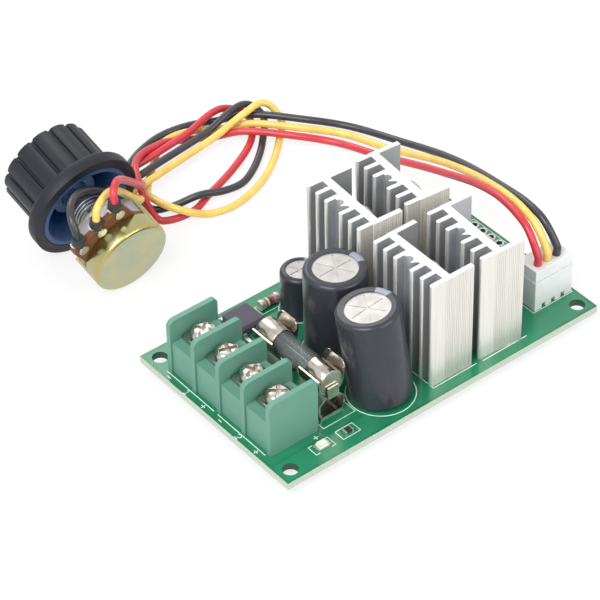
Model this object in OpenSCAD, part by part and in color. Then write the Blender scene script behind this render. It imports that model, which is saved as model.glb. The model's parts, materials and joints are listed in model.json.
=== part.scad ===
// Low-voltage motor speed controller: a circuit board with a four-way terminal block, a fuse in clips,
// electrolytic capacitors and four finned heat sinks, and a speed knob on a potentiometer at the end
// of a three-wire lead that plugs into a keyed header.
// Origin: centre of the four mounting holes on the board's underside. +X runs along the board's long
// edge towards the plug, +Y along its short edge away from the terminal labels, +Z is up.

/* [Board] */
// Length of the board along X
board_l = 78; // [76:0.5:90]
// Width of the board along Y
board_w = 46; // [45.5:0.5:60]
// Thickness of the board
board_t = 1.6; // [1:0.1:2.4]
// Diameter of each mounting hole
mount_hole_d = 3.2; // [2.5:0.1:3.6]
// Distance between the mounting holes along X
mount_pitch_x = 72.4; // [70:0.1:73]
// Distance between the mounting holes along Y
mount_pitch_y = 40.4; // [39:0.1:41]
// How far the trimmed leads stand below the board
lead_stand = 1.8; // [1.4:0.1:3]

/* [Terminal block] */
// Distance from one terminal to the next
way_pitch = 7.62; // [7.2:0.01:8]
// Depth of the block along X
block_depth = 11.5; // [11:0.1:13]
// Height of the block over the board
block_h = 12.7; // [12:0.1:15]
// Height of the cell floors over the board
cell_floor_h = 7.5; // [6:0.1:8]
// Thickness of the walls between cells
cell_wall = 1.15; // [0.8:0.05:1.4]
// Diameter of the terminal screw heads
term_head_d = 5.2; // [4.6:0.1:5.6]
// Diameter of the terminal screw threads
term_thread_d = 2.9; // [2.4:0.1:3]

/* [Fuse] */
// Outer diameter of the fuse's metal caps
fuse_cap_d = 5.2; // [5:0.1:5.4]
// Overall length of the fuse
fuse_l = 20; // [18:0.5:21]
// Height of the fuse's axis over the board
fuse_axis_h = 8.4; // [7.8:0.1:9]
// Thickness of the clip metal
clip_t = 0.4; // [0.3:0.05:0.5]

/* [Capacitors] */
// Diameter of the two large capacitors
cap_large_d = 12.6; // [12:0.1:13.2]
// Height of the two large capacitors
cap_large_h = 20.6; // [15:0.1:24]
// Diameter of the small capacitor
cap_small_d = 8.2; // [6:0.1:8.6]
// Height of the small capacitor
cap_small_h = 10; // [8:0.1:13]
// Lean of the front capacitor
cap_lean = 7; // [0:0.5:7]

/* [Heat sinks] */
// Width of a heat sink across its fins
sink_w = 17.5; // [17:0.1:18]
// Depth of a heat sink from fin tips to flange edges
sink_d = 10.35; // [10:0.05:11]
// Height of a heat sink
sink_h = 25; // [24:0.5:30]
// Thickness of the fins
fin_t = 1; // [0.8:0.05:1.2]
// Thickness of the wall that the transistor is screwed to
sink_web_t = 1.8; // [1.4:0.1:2.2]
// Thread diameter of the transistor screws
sink_screw_d = 3; // [2.5:0.1:3]

/* [Plug] */
// Distance between the plug's contacts
plug_pitch = 2.5; // [2.4:0.02:2.54]
// Length of the header
header_l = 9.8; // [9.6:0.05:10.4]
// Width of the header
header_w = 5.75; // [5.5:0.05:6.2]
// Height of the header over the board
header_h = 7; // [6.5:0.1:8]
// Outer diameter of each wire
wire_d = 1.6; // [1.4:0.05:1.6]

/* [Potentiometer] */
// Outer diameter of the potentiometer's metal cover
pot_d = 17.1; // [16.5:0.1:17.4]
// Depth of the cover behind the track card
cover_depth = 4; // [3.6:0.1:4.4]
// Diameter of the threaded bushing
bushing_d = 7; // [6.6:0.1:7.2]
// Diameter of the turning shaft
shaft_d = 6; // [5.6:0.1:6]
// Distance between the three solder lugs
lug_pitch = 5; // [4.6:0.1:5.2]
// Height of the bushing's end over the back of the cover
bushing_end = 16; // [15:0.1:17]

/* [Knob] */
// Diameter of the knob's skirt
knob_skirt_d = 24.6; // [23:0.1:26]
// Diameter of the fluted grip
knob_grip_d = 20; // [19:0.1:20.4]
// Height of the knob
knob_h = 14.8; // [13:0.1:18]
// Number of flutes round the grip
knob_flutes = 14; // [10:1:18]

/* [Hidden] */
$fn = 48;

// Clearances between pieces, and overruns for cuts
fit = 0.05;
slack = 0.1;
over = 1;
plane_z = -lead_stand;
top_z = board_t;

// Places on the board
block_front_x = -37.1;
block_mid_y = 0.4;
fuse_x = -20.9;
fuse_mid_y = -3.7;
cap_left_x = -16.05;
cap_rear_in = 1.2;
cap_mid_y = -7.325;
cap_gap = 2.25;
cap_apart = (cap_large_d + cap_gap) / 2;
front_cap_at = [cap_left_x + cap_large_d / 2, cap_mid_y - cap_apart];
rear_cap_at = [cap_left_x + cap_rear_in + cap_large_d / 2, cap_mid_y + cap_apart];
small_cap_in = 2.35;
small_cap_at = [rear_cap_at.x + small_cap_in, 13.9];
cap_lean_heading = 143;
header_at = [33.25, -13.5];
regulator_at = [-18, 17.2];
chip_at = [29.5, 8];
band_resistor_out = 4.4;
band_resistor_at = [small_cap_at.x - band_resistor_out, 18.7];
led_at = [-27.8, -19.15];
pad_row_at = [37.2, 3.9];
// Each heat sink's centre, along X from the front capacitor's right side, and its turn about Z
sink_offsets = [[7.65, 10, -3.6], [19.65, 9.85, -5], [6.95, -11.25, -0.5], [19.8, -11.5, -3.8]];
sink_places = [for (s = sink_offsets) [cap_left_x + cap_large_d + s.x, s.y, s[2]]];
// Chip resistors: centre and turn about Z
smd_places = [[-21.5, -19.1, 0], [25, 12.5, 90], [25, 5, 90], [34.5, 12.5, 90], [34.2, 4.5, 90], [-22.3, 13.2, 0]];

// Solder joints and thin leads
solder_r = 1;
solder_h = 1.3;
thin_r = 0.28;
blade_r = 0.5;
leg_r = 0.36;
pad_count = 4;
pad_pitch = 2.54;

// Terminal block
ways = 4;
block_l = ways * way_pitch + cell_wall;
cell_w = way_pitch - cell_wall;
floor_z = top_z + cell_floor_h;
block_top_z = top_z + block_h;
cell_inset = 0.4;
front_corner_r = 1.5;
rear_corner_r = 1;
contact_l = 6.4;
contact_w = 6;
contact_t = 1;
contact_in = 2.9;
screw_in = 5.6;
blade_in = 8.7;
contact_x = block_front_x + contact_in;
screw_x = block_front_x + screw_in;
blade_x = block_front_x + blade_in;
blade_t = 0.8;
blade_w = 3;
clamp_l = 6.1;
clamp_w = 5.8;
clamp_t = 1;
rib_count = 3;
rib_r = 0.28;
rib_pitch = 0.62;
head_h = 2;
head_edge_r = 1.2;
cross_w = 0.85;
cross_l = 3.7;
cross_depth = 0.9;
shank_l = 6.6;
screw_bore_gap = 0.3;
clamp_z = floor_z + fit;
head_z = clamp_z + clamp_t + fit;
function way_y(i) = block_mid_y + ((ways - 1) / 2 - i) * way_pitch;

// Fuse and clips
fuse_z = top_z + fuse_axis_h;
fuse_cap_l = 5.2;
fuse_cap_t = 0.4;
glass_wall = 0.5;
glass_r = fuse_cap_d / 2 - 0.25;
element_r = 0.15;
clip_w = 6;
clip_end_gap = 0.15;
clip_base_w = 5.4;
clip_r = fuse_cap_d / 2 + fit + clip_t / 2;
clip_neck_x = 1.2;
clip_neck_drop = 3.4;
clip_bulge_x = 3;
clip_bulge_h = 1.7;
clip_lip_out = 0.2;
clip_lip_h = 1.5;
clip_tab_out = 0.6;
clip_tab_h = 3.2;
clip_corner_r = 1.5;
clip_leg_w = 1.2;
clip_stop_w = 2.6;
clip_neck_z = fuse_axis_h - clip_neck_drop - clip_t / 2;
clip_hole_r = norm([clip_leg_w, clip_t]) / 2;

// Capacitors
sleeve_t = 0.22;
sleeve_gap = 0.03;
can_wall = 0.35;
cap_corner_r = 0.9;
cap_groove_h = 2;
cap_groove_depth = 0.45;
cap_bung_h = 2.6;
cap_base_gap = 0.25;
disc_share = 0.715;
large_lead_pitch = 5;
small_lead_pitch = 3.5;
vent_w = 0.3;
vent_depth = 0.12;

// Heat sinks and transistors
sink_tip_x = -sink_d / 2;
fin_l = 3.35;
web_x = sink_tip_x + fin_l;
// Offsets of the fins from the sink's middle, as shares of its half width
fin_shares = [0.943, 0.606, 0.268, -0.274, -0.617, -0.943];
flange_shares = [0.943, -0.943];
rib_row_count = 15;
sink_rib_r = 0.17;
sink_pad_t = 1.2;
sink_notch_r = 0.85;
sink_hole_y = -0.6;
sink_hole_h = 19.2;
pad_t = 0.2;
tab_t = 1.3;
tab_w = 10.2;
tab_h = 15.9;
tab_top_h = 22.2;
tab_hole_r = 1.8;
case_w = 10;
case_h = 9.2;
case_t = 3.1;
leg_pitch = 2.54;
leg_out = 1.2;
sink_head_d = 5.6;
sink_head_h = 1.9;
sink_thread_r = sink_screw_d / 2 - fit;

// Header, plug and wires
header_wall = 0.8;
header_floor = 1.7;
pin_w = 0.64;
pin_top_gap = 1;
notch_w = 1;
notch_h = 1.1;
plug_slack = 0.1;
plug_body_gap = 0.2;
plug_top_h = 2.8;
plug_flange_in = 0.15;
contact_box = 1.5;
contact_box_h = 4.2;
contact_gap = 0.08;
cavity_gap = 0.1;
header_ways = 3;
header_top_z = top_z + header_h;
plug_top_z = header_top_z + plug_top_h;
function pin_x(i) = header_at.x + (i - (header_ways - 1) / 2) * plug_pitch;

// Potentiometer, in its own frame: z along the shaft from the back of the cover
cover_wall = 0.5;
cover_edge_r = 0.7;
cover_window_x = 1.5;
cover_front = 8.4;
wafer_t = 1.35;
wafer_z = cover_depth + fit;
tongue_out = 2.55;
tongue_l = pot_d / 2 + tongue_out;
tongue_w = 13.6;
tongue_in = 4;
plate_t = 0.75;
nut_flats = 10;
nut_t = 2.3;
washer_t = 0.6;
washer_r = 5.9;
washer_teeth = 12;
rivet_r = 0.9;
rivet_head_r = 1.1;
rivet_at = pot_d / 2 + rivet_head_r + slack;
lug_w = 2.2;
lug_t = 0.5;
lug_reach = 1.5;
solder_out = 3.05;
lug_solder_at = pot_d / 2 + solder_out;
lug_drop = 1;
sleeve_r = 1.3;
sleeve_from = 0.4;
sleeve_l = 1.8;
track_inset = 1.65;
track_w = 1.8;
track_out_r = pot_d / 2 - track_inset;
track_in_r = track_out_r - track_w;
track_t = 0.1;
neck_r = 2;
wiper_t = 0.35;
wiper_hub_r = 3.6;
lug_heading = -125;
skirt_z = bushing_end;
tilt = asin((knob_skirt_d - pot_d) / 2 / skirt_z);
pot_at = [-26, 42.6, plane_z + pot_d / 2 * cos(tilt)];

// Knob, in the potentiometer's frame
knob_wall = 1;
skirt_h = 3.5;
skirt_wall = 2;
skirt_edge_r = 0.9;
skirt_fall = 0.3;
knob_top_z = skirt_z + knob_h;
shaft_top_gap = 1.8;
shaft_end = knob_top_z - knob_wall - shaft_top_gap;
flute_r = 3.8;
groove_r = 0.45;
groove_out = 0.4;
insert_r = knob_grip_d / 2 - 2;
boss_r = 5;
boss_gap = 4;
insert_floor_t = 1.6;
flat_depth = 0.6;

// Wires: hand-chosen points from the plug to the lugs
wire_sides = 8;
red_path = [[30.35, -14.5, 11.4], [30.35, -14.5, 13.6], [31.5, -9, 18], [34, 3.5, 17], [36.5, 22, 9.5],
    [37, 42, 1.5], [34.5, 52, 0], [28.5, 58.5, 1], [21, 67, 1], [16, 72, -1], [9.5, 75, -0.5], [5, 75, 1],
    [-4, 71.5, 3.2], [-8.5, 64.5, 3.4], [-9.5, 60, 0.3], [-9, 56, -1], [-2.5, 54.5, -1], [3, 56.5, -1],
    [13, 60.5, -1], [21.5, 65.5, -1], [26, 71.5, -1], [26, 75, -0.5], [21, 76.5, 1.2], [11, 74, 1.2],
    [2, 72.6, 1.3], [-9.5, 70, 2], [-12, 58.2, 8.5], [-16.6, 53.6, 14.2], [-20.8, 50.4, 19],
    [-24.2, 47.8, 22.6], [-26.6, 45.8, 24.2], [-28.3, 44.3, 23.4], [-28.56, 43.7, 21.8],
    [-28.56, 43.82, 21.28]];
yellow_path = [[32.85, -14.5, 11.4], [32.85, -14.5, 13.6], [33.5, -9, 18], [36, 3.5, 16.5], [40, 23, 9],
    [40.5, 43, 1], [37.5, 53.5, 0], [31, 60, 1], [23.5, 68.5, 1], [19, 73, -1], [12.5, 77, -1],
    [6.5, 77, -1], [1.5, 73, -1], [-5.5, 66, -1], [-7.5, 60.5, 1], [-5.5, 54.5, 1], [0, 51.5, -1],
    [6, 50.5, -1], [14.5, 53, -1], [21.5, 57.5, -1], [27, 62.5, -1], [31, 67, -1], [29.5, 70.5, 2.4],
    [24, 70, 3], [15, 69.5, 1], [-1, 67, 1], [-9.5, 65.5, 1], [-12.6, 58.3, 5.2], [-17.2, 53.2, 10.8],
    [-21.8, 51.6, 16], [-26, 48.8, 20], [-29.4, 46.3, 21.6], [-32, 44.9, 20.9], [-32.65, 44.4, 19.2],
    [-32.65, 44.49, 18.49]];
black_path = [[35.35, -14.5, 11.4], [35.35, -14.5, 13.6], [35.5, -9, 18], [38, 4.5, 15.5],
    [43, 25.5, 7.5], [43.5, 44.5, 1], [40, 55, 0], [33.5, 61.5, 1.2], [25.5, 71, 1], [20, 76, -1],
    [12.5, 79, -1], [5, 79, -1], [-4, 75, -1], [-10.5, 67, -1], [-8, 60, -1], [-4.5, 58.5, -1],
    [0.5, 56, 0.9], [6, 54.5, 0.2], [12, 55.5, -1], [18, 59, -1], [24, 64.5, -1], [29, 71, -1],
    [27.5, 74, 1], [22, 73, 2.4], [15, 72, 1], [-9.5, 68, 1], [-12.5, 64, 1], [-15, 59, 3],
    [-18.4, 55.6, 9.2], [-24.2, 55.2, 15.2], [-29.8, 53.4, 19], [-34, 50.6, 20.4], [-36.4, 47.6, 19.6],
    [-36.9, 45.6, 17.6], [-36.75, 45.2, 16.2], [-36.75, 45.17, 15.7]];

// Leads that pass through the board: [x, y, lead radius], and the holes and solder follow
function turned(p, a) = [p.x * cos(a) - p.y * sin(a), p.x * sin(a) + p.y * cos(a)];
function cap_leads(at, pitch, heading) =
    [for (s = [-1, 1]) [at.x + s * pitch / 2 * cos(heading), at.y + s * pitch / 2 * sin(heading), thin_r]];
leg_x = web_x + sink_web_t + pad_t + tab_t + leg_out;
sink_leads = [for (s = sink_places) for (k = [-1:1])
    let (q = turned([leg_x, sink_hole_y + k * leg_pitch], s[2])) [s.x + q.x, s.y + q.y, leg_r]];
block_leads = [for (i = [0:ways - 1]) [blade_x + blade_t / 2, way_y(i), blade_r]];
clip_leads = [for (e = [-1, 1]) for (s = [-1, 1])
    [fuse_x + s * (clip_base_w - clip_t) / 2, clip_mid_y(e), clip_hole_r]];
header_leads = [for (i = [0:header_ways - 1]) [pin_x(i), header_at.y, pin_w * sqrt(2) / 2]];
large_leads = concat(cap_leads(front_cap_at, large_lead_pitch, 90), cap_leads(rear_cap_at, large_lead_pitch, 90));
small_leads = cap_leads(small_cap_at, small_lead_pitch, 90);
leads = concat(block_leads, clip_leads, header_leads, large_leads, small_leads, sink_leads);
pad_holes = [for (i = [0:pad_count - 1]) [pad_row_at.x, pad_row_at.y + i * pad_pitch, blade_r]];
function clip_mid_y(e) = fuse_mid_y + e * (fuse_l - clip_w) / 2;

function arc(cx, cy, r, a0, a1, steps) =
    [for (k = [0:steps]) let (a = a0 + (a1 - a0) * k / steps) [cx + r * cos(a), cy + r * sin(a)]];

module circuit_board() {
    color("seagreen")
    difference() {
        translate([-board_l / 2, -board_w / 2, 0])
        cube([board_l, board_w, board_t]);
        for (sx = [-1, 1]) for (sy = [-1, 1])
            translate([sx * mount_pitch_x / 2, sy * mount_pitch_y / 2, -over])
            cylinder(d = mount_hole_d, h = board_t + 2 * over);
        for (p = concat(leads, pad_holes))
            translate([p.x, p.y, -over])
            cylinder(r = p[2] + slack, h = board_t + 2 * over, $fn = 24);
    }
}

// A cone of solder round a lead, hanging from the board's underside
module solder_cone(lead) {
    r = lead[2] + fit;
    rotate_extrude($fn = 24)
    polygon([[r, 0], [r + solder_r - thin_r, 0], [r + slack, -solder_h], [r, -solder_h]]);
}

module solder_joints() {
    color("silver")
    for (p = leads)
        translate([p.x, p.y, 0])
        solder_cone(p);
}

// Side outline of a wall between cells: a block with two rounded top corners
module wall_outline() {
    r1 = front_corner_r;
    r2 = rear_corner_r;
    square([block_depth, block_h - r1]);
    translate([r1, block_h - r1])
    circle(r = r1);
    translate([block_depth - r2, block_h - r2])
    circle(r = r2);
    translate([r1, 0])
    square([block_depth - r1 - r2, block_h]);
    translate([block_depth - r2 - over / 2, 0])
    square([r2 + over / 2, block_h - r2]);
}

module terminal_block() {
    color("mediumaquamarine")
    difference() {
        union() {
            for (i = [0:ways])
                translate([block_front_x, block_mid_y - block_l / 2 + i * way_pitch + cell_wall, top_z])
                rotate([90, 0, 0])
                linear_extrude(cell_wall)
                wall_outline();
            translate([block_front_x + cell_inset, block_mid_y - block_l / 2 + cell_wall / 2, top_z])
            cube([block_depth - 2 * cell_inset, block_l - cell_wall, cell_floor_h]);
        }
        for (i = [0:ways - 1]) translate([0, way_y(i), 0]) {
            translate([contact_x - slack, -contact_w / 2 - slack, floor_z - contact_t - slack])
            cube([contact_l + 2 * slack, contact_w + 2 * slack, contact_t + over]);
            translate([blade_x - slack, -blade_w / 2 - slack, top_z - over])
            cube([blade_t + 2 * slack, blade_w + 2 * slack, cell_floor_h + over]);
            translate([screw_x, 0, head_z - shank_l - slack])
            cylinder(d = term_thread_d + 2 * screw_bore_gap, h = shank_l);
        }
    }
}

module terminal_contacts() {
    color("silver")
    for (i = [0:ways - 1]) translate([0, way_y(i), 0]) {
        difference() {
            union() {
                translate([contact_x, -contact_w / 2, floor_z - contact_t])
                cube([contact_l, contact_w, contact_t]);
                translate([blade_x, -blade_w / 2, top_z])
                cube([blade_t, blade_w, cell_floor_h - contact_t / 2]);
                translate([blade_x + blade_t / 2, 0, plane_z])
                cylinder(r = blade_r, h = top_z + over - plane_z, $fn = 24);
            }
            translate([screw_x, 0, floor_z - contact_t - over])
            cylinder(d = term_thread_d + 2 * fit, h = contact_t + 2 * over);
        }
    }
}

// Square clamp washer with pressed ribs along its front edge
module clamp_plate(i) {
    color("gainsboro")
    translate([screw_x, way_y(i), clamp_z])
    difference() {
        union() {
            translate([-clamp_l / 2, -clamp_w / 2, 0])
            cube([clamp_l, clamp_w, clamp_t - rib_r / 2]);
            for (k = [0:rib_count - 1])
                translate([-clamp_l / 2 + rib_r + k * rib_pitch, -clamp_w / 2, clamp_t - rib_r])
                rotate([-90, 0, 0])
                cylinder(r = rib_r, h = clamp_w, $fn = 20);
            translate([-clamp_l / 2 + rib_r + rib_count * rib_pitch, -clamp_w / 2, 0])
            cube([clamp_l - rib_r - rib_count * rib_pitch, clamp_w, clamp_t]);
        }
        translate([0, 0, -over])
        cylinder(d = term_thread_d + 2 * slack, h = clamp_t + 2 * over);
    }
}
module clamp_plate_1() clamp_plate(0);
module clamp_plate_2() clamp_plate(1);
module clamp_plate_3() clamp_plate(2);
module clamp_plate_4() clamp_plate(3);

// Pan head with a cross recess and a full slot, standing on z = 0
module pan_head(d, h, edge) {
    difference() {
        rotate_extrude()
        polygon(concat([[0, 0], [d / 2, 0]], arc(d / 2 - edge, h - edge, edge, 0, 90, 6), [[0, h]]));
        for (a = [0, 90])
            rotate([0, 0, a])
            translate([-cross_l / 2, -cross_w / 2, h - cross_depth])
            cube([cross_l, cross_w, cross_depth + over]);
        translate([-d, -cross_w / 2, h - cross_depth / 2])
        cube([2 * d, cross_w, cross_depth + over]);
    }
}

// Way-by-way angle at which each terminal screw stopped turning
screw_turns = [35, 70, 20, 50];

module terminal_screw(i) {
    color("lightsteelblue")
    translate([screw_x, way_y(i), head_z])
    rotate([0, 0, screw_turns[i]]) {
        pan_head(term_head_d, head_h, head_edge_r);
        translate([0, 0, fit - shank_l])
        cylinder(d = term_thread_d, h = shank_l);
    }
}
module terminal_screw_1() terminal_screw(0);
module terminal_screw_2() terminal_screw(1);
module terminal_screw_3() terminal_screw(2);
module terminal_screw_4() terminal_screw(3);

// Outline of a sheet strip of thickness t bent along points, with mitred corners
function mitre(p, i) =
    let (a = unit(i == 0 ? p[1] - p[0] : p[i] - p[i - 1]),
        b = i == len(p) - 1 ? a : unit(p[i + 1] - p[i]), m = unit(a + b))
    [-m.y, m.x] / (m * a);
function ribbon(p, t) =
    concat([for (i = [0:len(p) - 1]) p[i] + mitre(p, i) * t / 2],
        [for (i = [len(p) - 1:-1:0]) p[i] - mitre(p, i) * t / 2]);

// Right arm of a clip from its foot past the fuse's widest line, x across, y up from the board
function clip_arm_path(h, out) =
    concat([[(clip_base_w - clip_t) / 2, clip_t / 2], [clip_bulge_x, clip_bulge_h],
    [clip_bulge_x, clip_bulge_h * 2], [clip_neck_x, fuse_axis_h - clip_neck_drop]],
    arc(0, fuse_axis_h, clip_r, -60, 0, 6), [[clip_r + out, fuse_axis_h + h]]);

// One clip: e is -1 for the front end of the fuse and 1 for the rear end
module fuse_clip(e) {
    color("silver")
    translate([fuse_x, clip_mid_y(e), top_z]) {
        difference() {
            rotate([90, 0, 0])
            translate([0, 0, -clip_w / 2])
            linear_extrude(clip_w) {
                polygon(ribbon(clip_arm_path(clip_tab_h, clip_tab_out), clip_t));
                mirror([1, 0])
                polygon(ribbon(clip_arm_path(clip_lip_h, clip_lip_out), clip_t));
                translate([-clip_base_w / 2, 0])
                square([clip_base_w, clip_t]);
            }
            for (s = [-1, 1])
                translate([0, s * (clip_w / 2 - clip_corner_r), fuse_axis_h + clip_tab_h - clip_corner_r])
                difference() {
                    translate([0, (s - 1) / 2 * clip_w, 0])
                    cube(clip_w);
                    translate([-over, 0, 0])
                    rotate([0, 90, 0])
                    cylinder(r = clip_corner_r, h = clip_w + 2 * over, $fn = 32);
                }
        }
        translate([-clip_stop_w / 2, e * (clip_w / 2 + clip_end_gap) + (e - 1) / 2 * clip_t, clip_neck_z])
        cube([clip_stop_w, clip_t, fuse_axis_h - fuse_cap_d / 6 - clip_neck_z]);
        translate([-clip_stop_w / 2, e > 0 ? clip_w / 2 - over : -clip_w / 2 - clip_end_gap - fit, clip_neck_z])
        cube([clip_stop_w, over + clip_end_gap + fit, clip_t]);
        for (s = [-1, 1])
            translate([s * (clip_base_w - clip_t) / 2 - clip_t / 2, -clip_leg_w / 2, plane_z - top_z])
            cube([clip_t, clip_leg_w, top_z - plane_z + clip_t / 2]);
    }
}
module fuse_clip_front() fuse_clip(-1);
module fuse_clip_rear() fuse_clip(1);

// Places a piece on the fuse's axis, with its z along +Y from the front end
module along_fuse() {
    translate([fuse_x, fuse_mid_y - fuse_l / 2, fuse_z])
    rotate([-90, 0, 0])
    children();
}

module fuse_glass() {
    color("azure", 0.5)
    along_fuse()
    translate([0, 0, fuse_cap_t + fit])
    difference() {
        cylinder(r = glass_r, h = fuse_l - 2 * fuse_cap_t - 2 * fit);
        translate([0, 0, -over])
        cylinder(r = glass_r - glass_wall, h = fuse_l + over);
    }
}

module fuse_caps() {
    color("silver")
    along_fuse()
    for (e = [0, 1])
        translate([0, 0, e * fuse_l])
        mirror([0, 0, e])
        difference() {
            cylinder(d = fuse_cap_d, h = fuse_cap_l);
            translate([0, 0, fuse_cap_t])
            cylinder(r = glass_r + fit, h = fuse_cap_l);
        }
}

module fuse_wire() {
    color("gray")
    along_fuse()
    translate([0, 0, fuse_cap_t])
    cylinder(r = element_r, h = fuse_l - 2 * fuse_cap_t, $fn = 16);
}

// Stands a capacitor's pieces at its place, leaned about the foot of its axis
module stood(at, d, lean) {
    translate([at.x, at.y, top_z + cap_base_gap + d / 2 * sin(lean)])
    rotate([0, 0, cap_lean_heading])
    rotate([0, lean, 0])
    rotate([0, 0, -cap_lean_heading])
    children();
}

// Aluminium can: a cup with a rolled groove near its open foot and a scored flat top
module can(d, h) {
    r = d / 2 - sleeve_t - sleeve_gap;
    ri = r - can_wall;
    t = h - sleeve_t - sleeve_gap;
    e = cap_corner_r;
    g = cap_groove_depth;
    color("silver")
    difference() {
        rotate_extrude()
        polygon(concat([[ri, 0], [r, 0], [r, cap_groove_h - g], [r - g, cap_groove_h], [r, cap_groove_h + g]],
            arc(r - e, t - e, e, 0, 90, 6), [[0, t], [0, t - can_wall], [ri - e, t - can_wall],
            [ri, t - e], [ri, cap_groove_h + g], [ri - g, cap_groove_h], [ri, cap_groove_h - g]]));
        for (a = [0, 60, 120])
            rotate([0, 0, a])
            translate([-d * disc_share / 2 * 0.85, -vent_w / 2, t - vent_depth])
            cube([d * disc_share * 0.85, vent_w, over]);
    }
}

// Shrink sleeve: a thin tube whose top edge is drawn in over the can's shoulder
module cap_sleeve(d, h) {
    r = d / 2;
    ri = r - sleeve_t;
    e = cap_corner_r;
    lip = d * disc_share / 2;
    color("black")
    rotate_extrude()
    polygon(concat([[ri, 0], [r, 0]], arc(r - e, h - e, e, 0, 90, 6), [[lip, h], [lip, h - sleeve_t]],
        arc(r - e, h - e, e - sleeve_t, 90, 0, 6)));
}

// Rubber bung, with a bore for each lead that stands upright through the board
module bung(at, d, lean, pitch) {
    ri = d / 2 - sleeve_t - sleeve_gap - can_wall - cap_groove_depth - fit;
    difference() {
        stood(at, d, lean)
        cylinder(r = ri, h = cap_bung_h);
        for (p = cap_leads(at, pitch, 90))
            translate([p.x, p.y, 0])
            cylinder(r = thin_r + fit, h = top_z + cap_bung_h + d, $fn = 24);
    }
}

module winding(at, d, h, lean) {
    ri = d / 2 - sleeve_t - sleeve_gap - can_wall - cap_groove_depth - fit;
    stood(at, d, lean)
    translate([0, 0, cap_bung_h + slack])
    cylinder(r = ri, h = h - cap_bung_h - sleeve_t - can_wall - 6 * slack);
}

module front_capacitor_can() stood(front_cap_at, cap_large_d, cap_lean) can(cap_large_d, cap_large_h);
module front_capacitor_sleeve() stood(front_cap_at, cap_large_d, cap_lean) cap_sleeve(cap_large_d, cap_large_h);
module rear_capacitor_can() stood(rear_cap_at, cap_large_d, 0) can(cap_large_d, cap_large_h);
module rear_capacitor_sleeve() stood(rear_cap_at, cap_large_d, 0) cap_sleeve(cap_large_d, cap_large_h);
module small_capacitor_can() stood(small_cap_at, cap_small_d, 0) can(cap_small_d, cap_small_h);
module small_capacitor_sleeve() stood(small_cap_at, cap_small_d, 0) cap_sleeve(cap_small_d, cap_small_h);

module capacitor_bungs() {
    color("dimgray") {
        bung(front_cap_at, cap_large_d, cap_lean, large_lead_pitch);
        bung(rear_cap_at, cap_large_d, 0, large_lead_pitch);
        bung(small_cap_at, cap_small_d, 0, small_lead_pitch);
    }
}

module capacitor_windings() {
    color("tan") {
        winding(front_cap_at, cap_large_d, cap_large_h, cap_lean);
        winding(rear_cap_at, cap_large_d, cap_large_h, 0);
        winding(small_cap_at, cap_small_d, cap_small_h, 0);
    }
}

module capacitor_leads() {
    color("silver")
    for (p = concat(large_leads, small_leads))
        translate([p.x, p.y, plane_z])
        cylinder(r = thin_r, h = top_z + cap_base_gap + cap_bung_h / 2 - plane_z, $fn = 24);
}

// Cross-section of a heat sink: fins towards -X, flanges towards +X
module sink_outline() {
    half = sink_w / 2;
    translate([web_x, -half])
    square([sink_web_t, sink_w]);
    for (s = fin_shares) {
        translate([sink_tip_x + fin_t / 2, s * half - fin_t / 2])
        square([fin_l - fin_t / 2 + sink_web_t / 2, fin_t]);
        translate([sink_tip_x + fin_t / 2, s * half])
        circle(d = fin_t, $fn = 24);
    }
    for (s = flange_shares) {
        translate([web_x + sink_web_t / 2, s * half - fin_t / 2])
        square([-sink_tip_x - web_x - sink_web_t / 2, fin_t]);
        for (k = [0:rib_row_count - 1])
            translate([web_x + (k + 0.5) * (-sink_tip_x - web_x) / rib_row_count, sign(s) * half])
            circle(r = sink_rib_r, $fn = 16);
    }
}

// Toothed ridge between the two middle fins, with a round groove beside the tooth
module sink_ridge() {
    y0 = fin_shares[3] * sink_w / 2;
    y1 = fin_shares[2] * sink_w / 2;
    difference() {
        translate([web_x, y0])
        polygon([[sink_web_t / 2, 0], [-sink_pad_t * 0.4, 0], [-sink_pad_t * 0.4, fin_t], [-sink_pad_t, fin_t * 1.5],
            [-sink_pad_t * 1.5, fin_t * 1.9], [-sink_pad_t, fin_t * 2.1], [-sink_pad_t, y1 - y0],
            [sink_web_t / 2, y1 - y0]]);
        translate([web_x - sink_pad_t, y1 - fin_t - sink_notch_r])
        circle(r = sink_notch_r);
    }
}

// Places a piece in a heat sink's own frame, standing on the board
module at_sink(i) {
    p = sink_places[i];
    translate([p.x, p.y, top_z])
    rotate([0, 0, p[2]])
    children();
}

module heat_sink(i) {
    color("lightgray")
    at_sink(i)
    difference() {
        union() {
            linear_extrude(sink_h)
            sink_outline();
            linear_extrude(sink_h)
            sink_ridge();
        }
        translate([sink_tip_x, sink_hole_y, sink_hole_h])
        rotate([0, 90, 0])
        cylinder(d = sink_screw_d, h = fin_l + sink_web_t + over, $fn = 32);
    }
}
module heat_sink_1() heat_sink(0);
module heat_sink_2() heat_sink(1);
module heat_sink_3() heat_sink(2);
module heat_sink_4() heat_sink(3);

back_x = web_x + sink_web_t;
tab_x = back_x + pad_t;
case_x = tab_x + tab_t;
case_z = tab_top_h - tab_h;

module for_each_sink() {
    for (i = [0:len(sink_places) - 1])
        at_sink(i)
        translate([0, sink_hole_y, 0])
        children();
}

module transistor_bodies() {
    color("black")
    for_each_sink()
    difference() {
        translate([case_x, -case_w / 2, case_z])
        cube([case_t, case_w, case_h]);
        translate([case_x + case_t, 0, case_z + case_h * 0.72])
        rotate([0, 90, 0])
        cylinder(r = case_w * 0.06, h = slack * 2, center = true, $fn = 24);
    }
}

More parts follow.
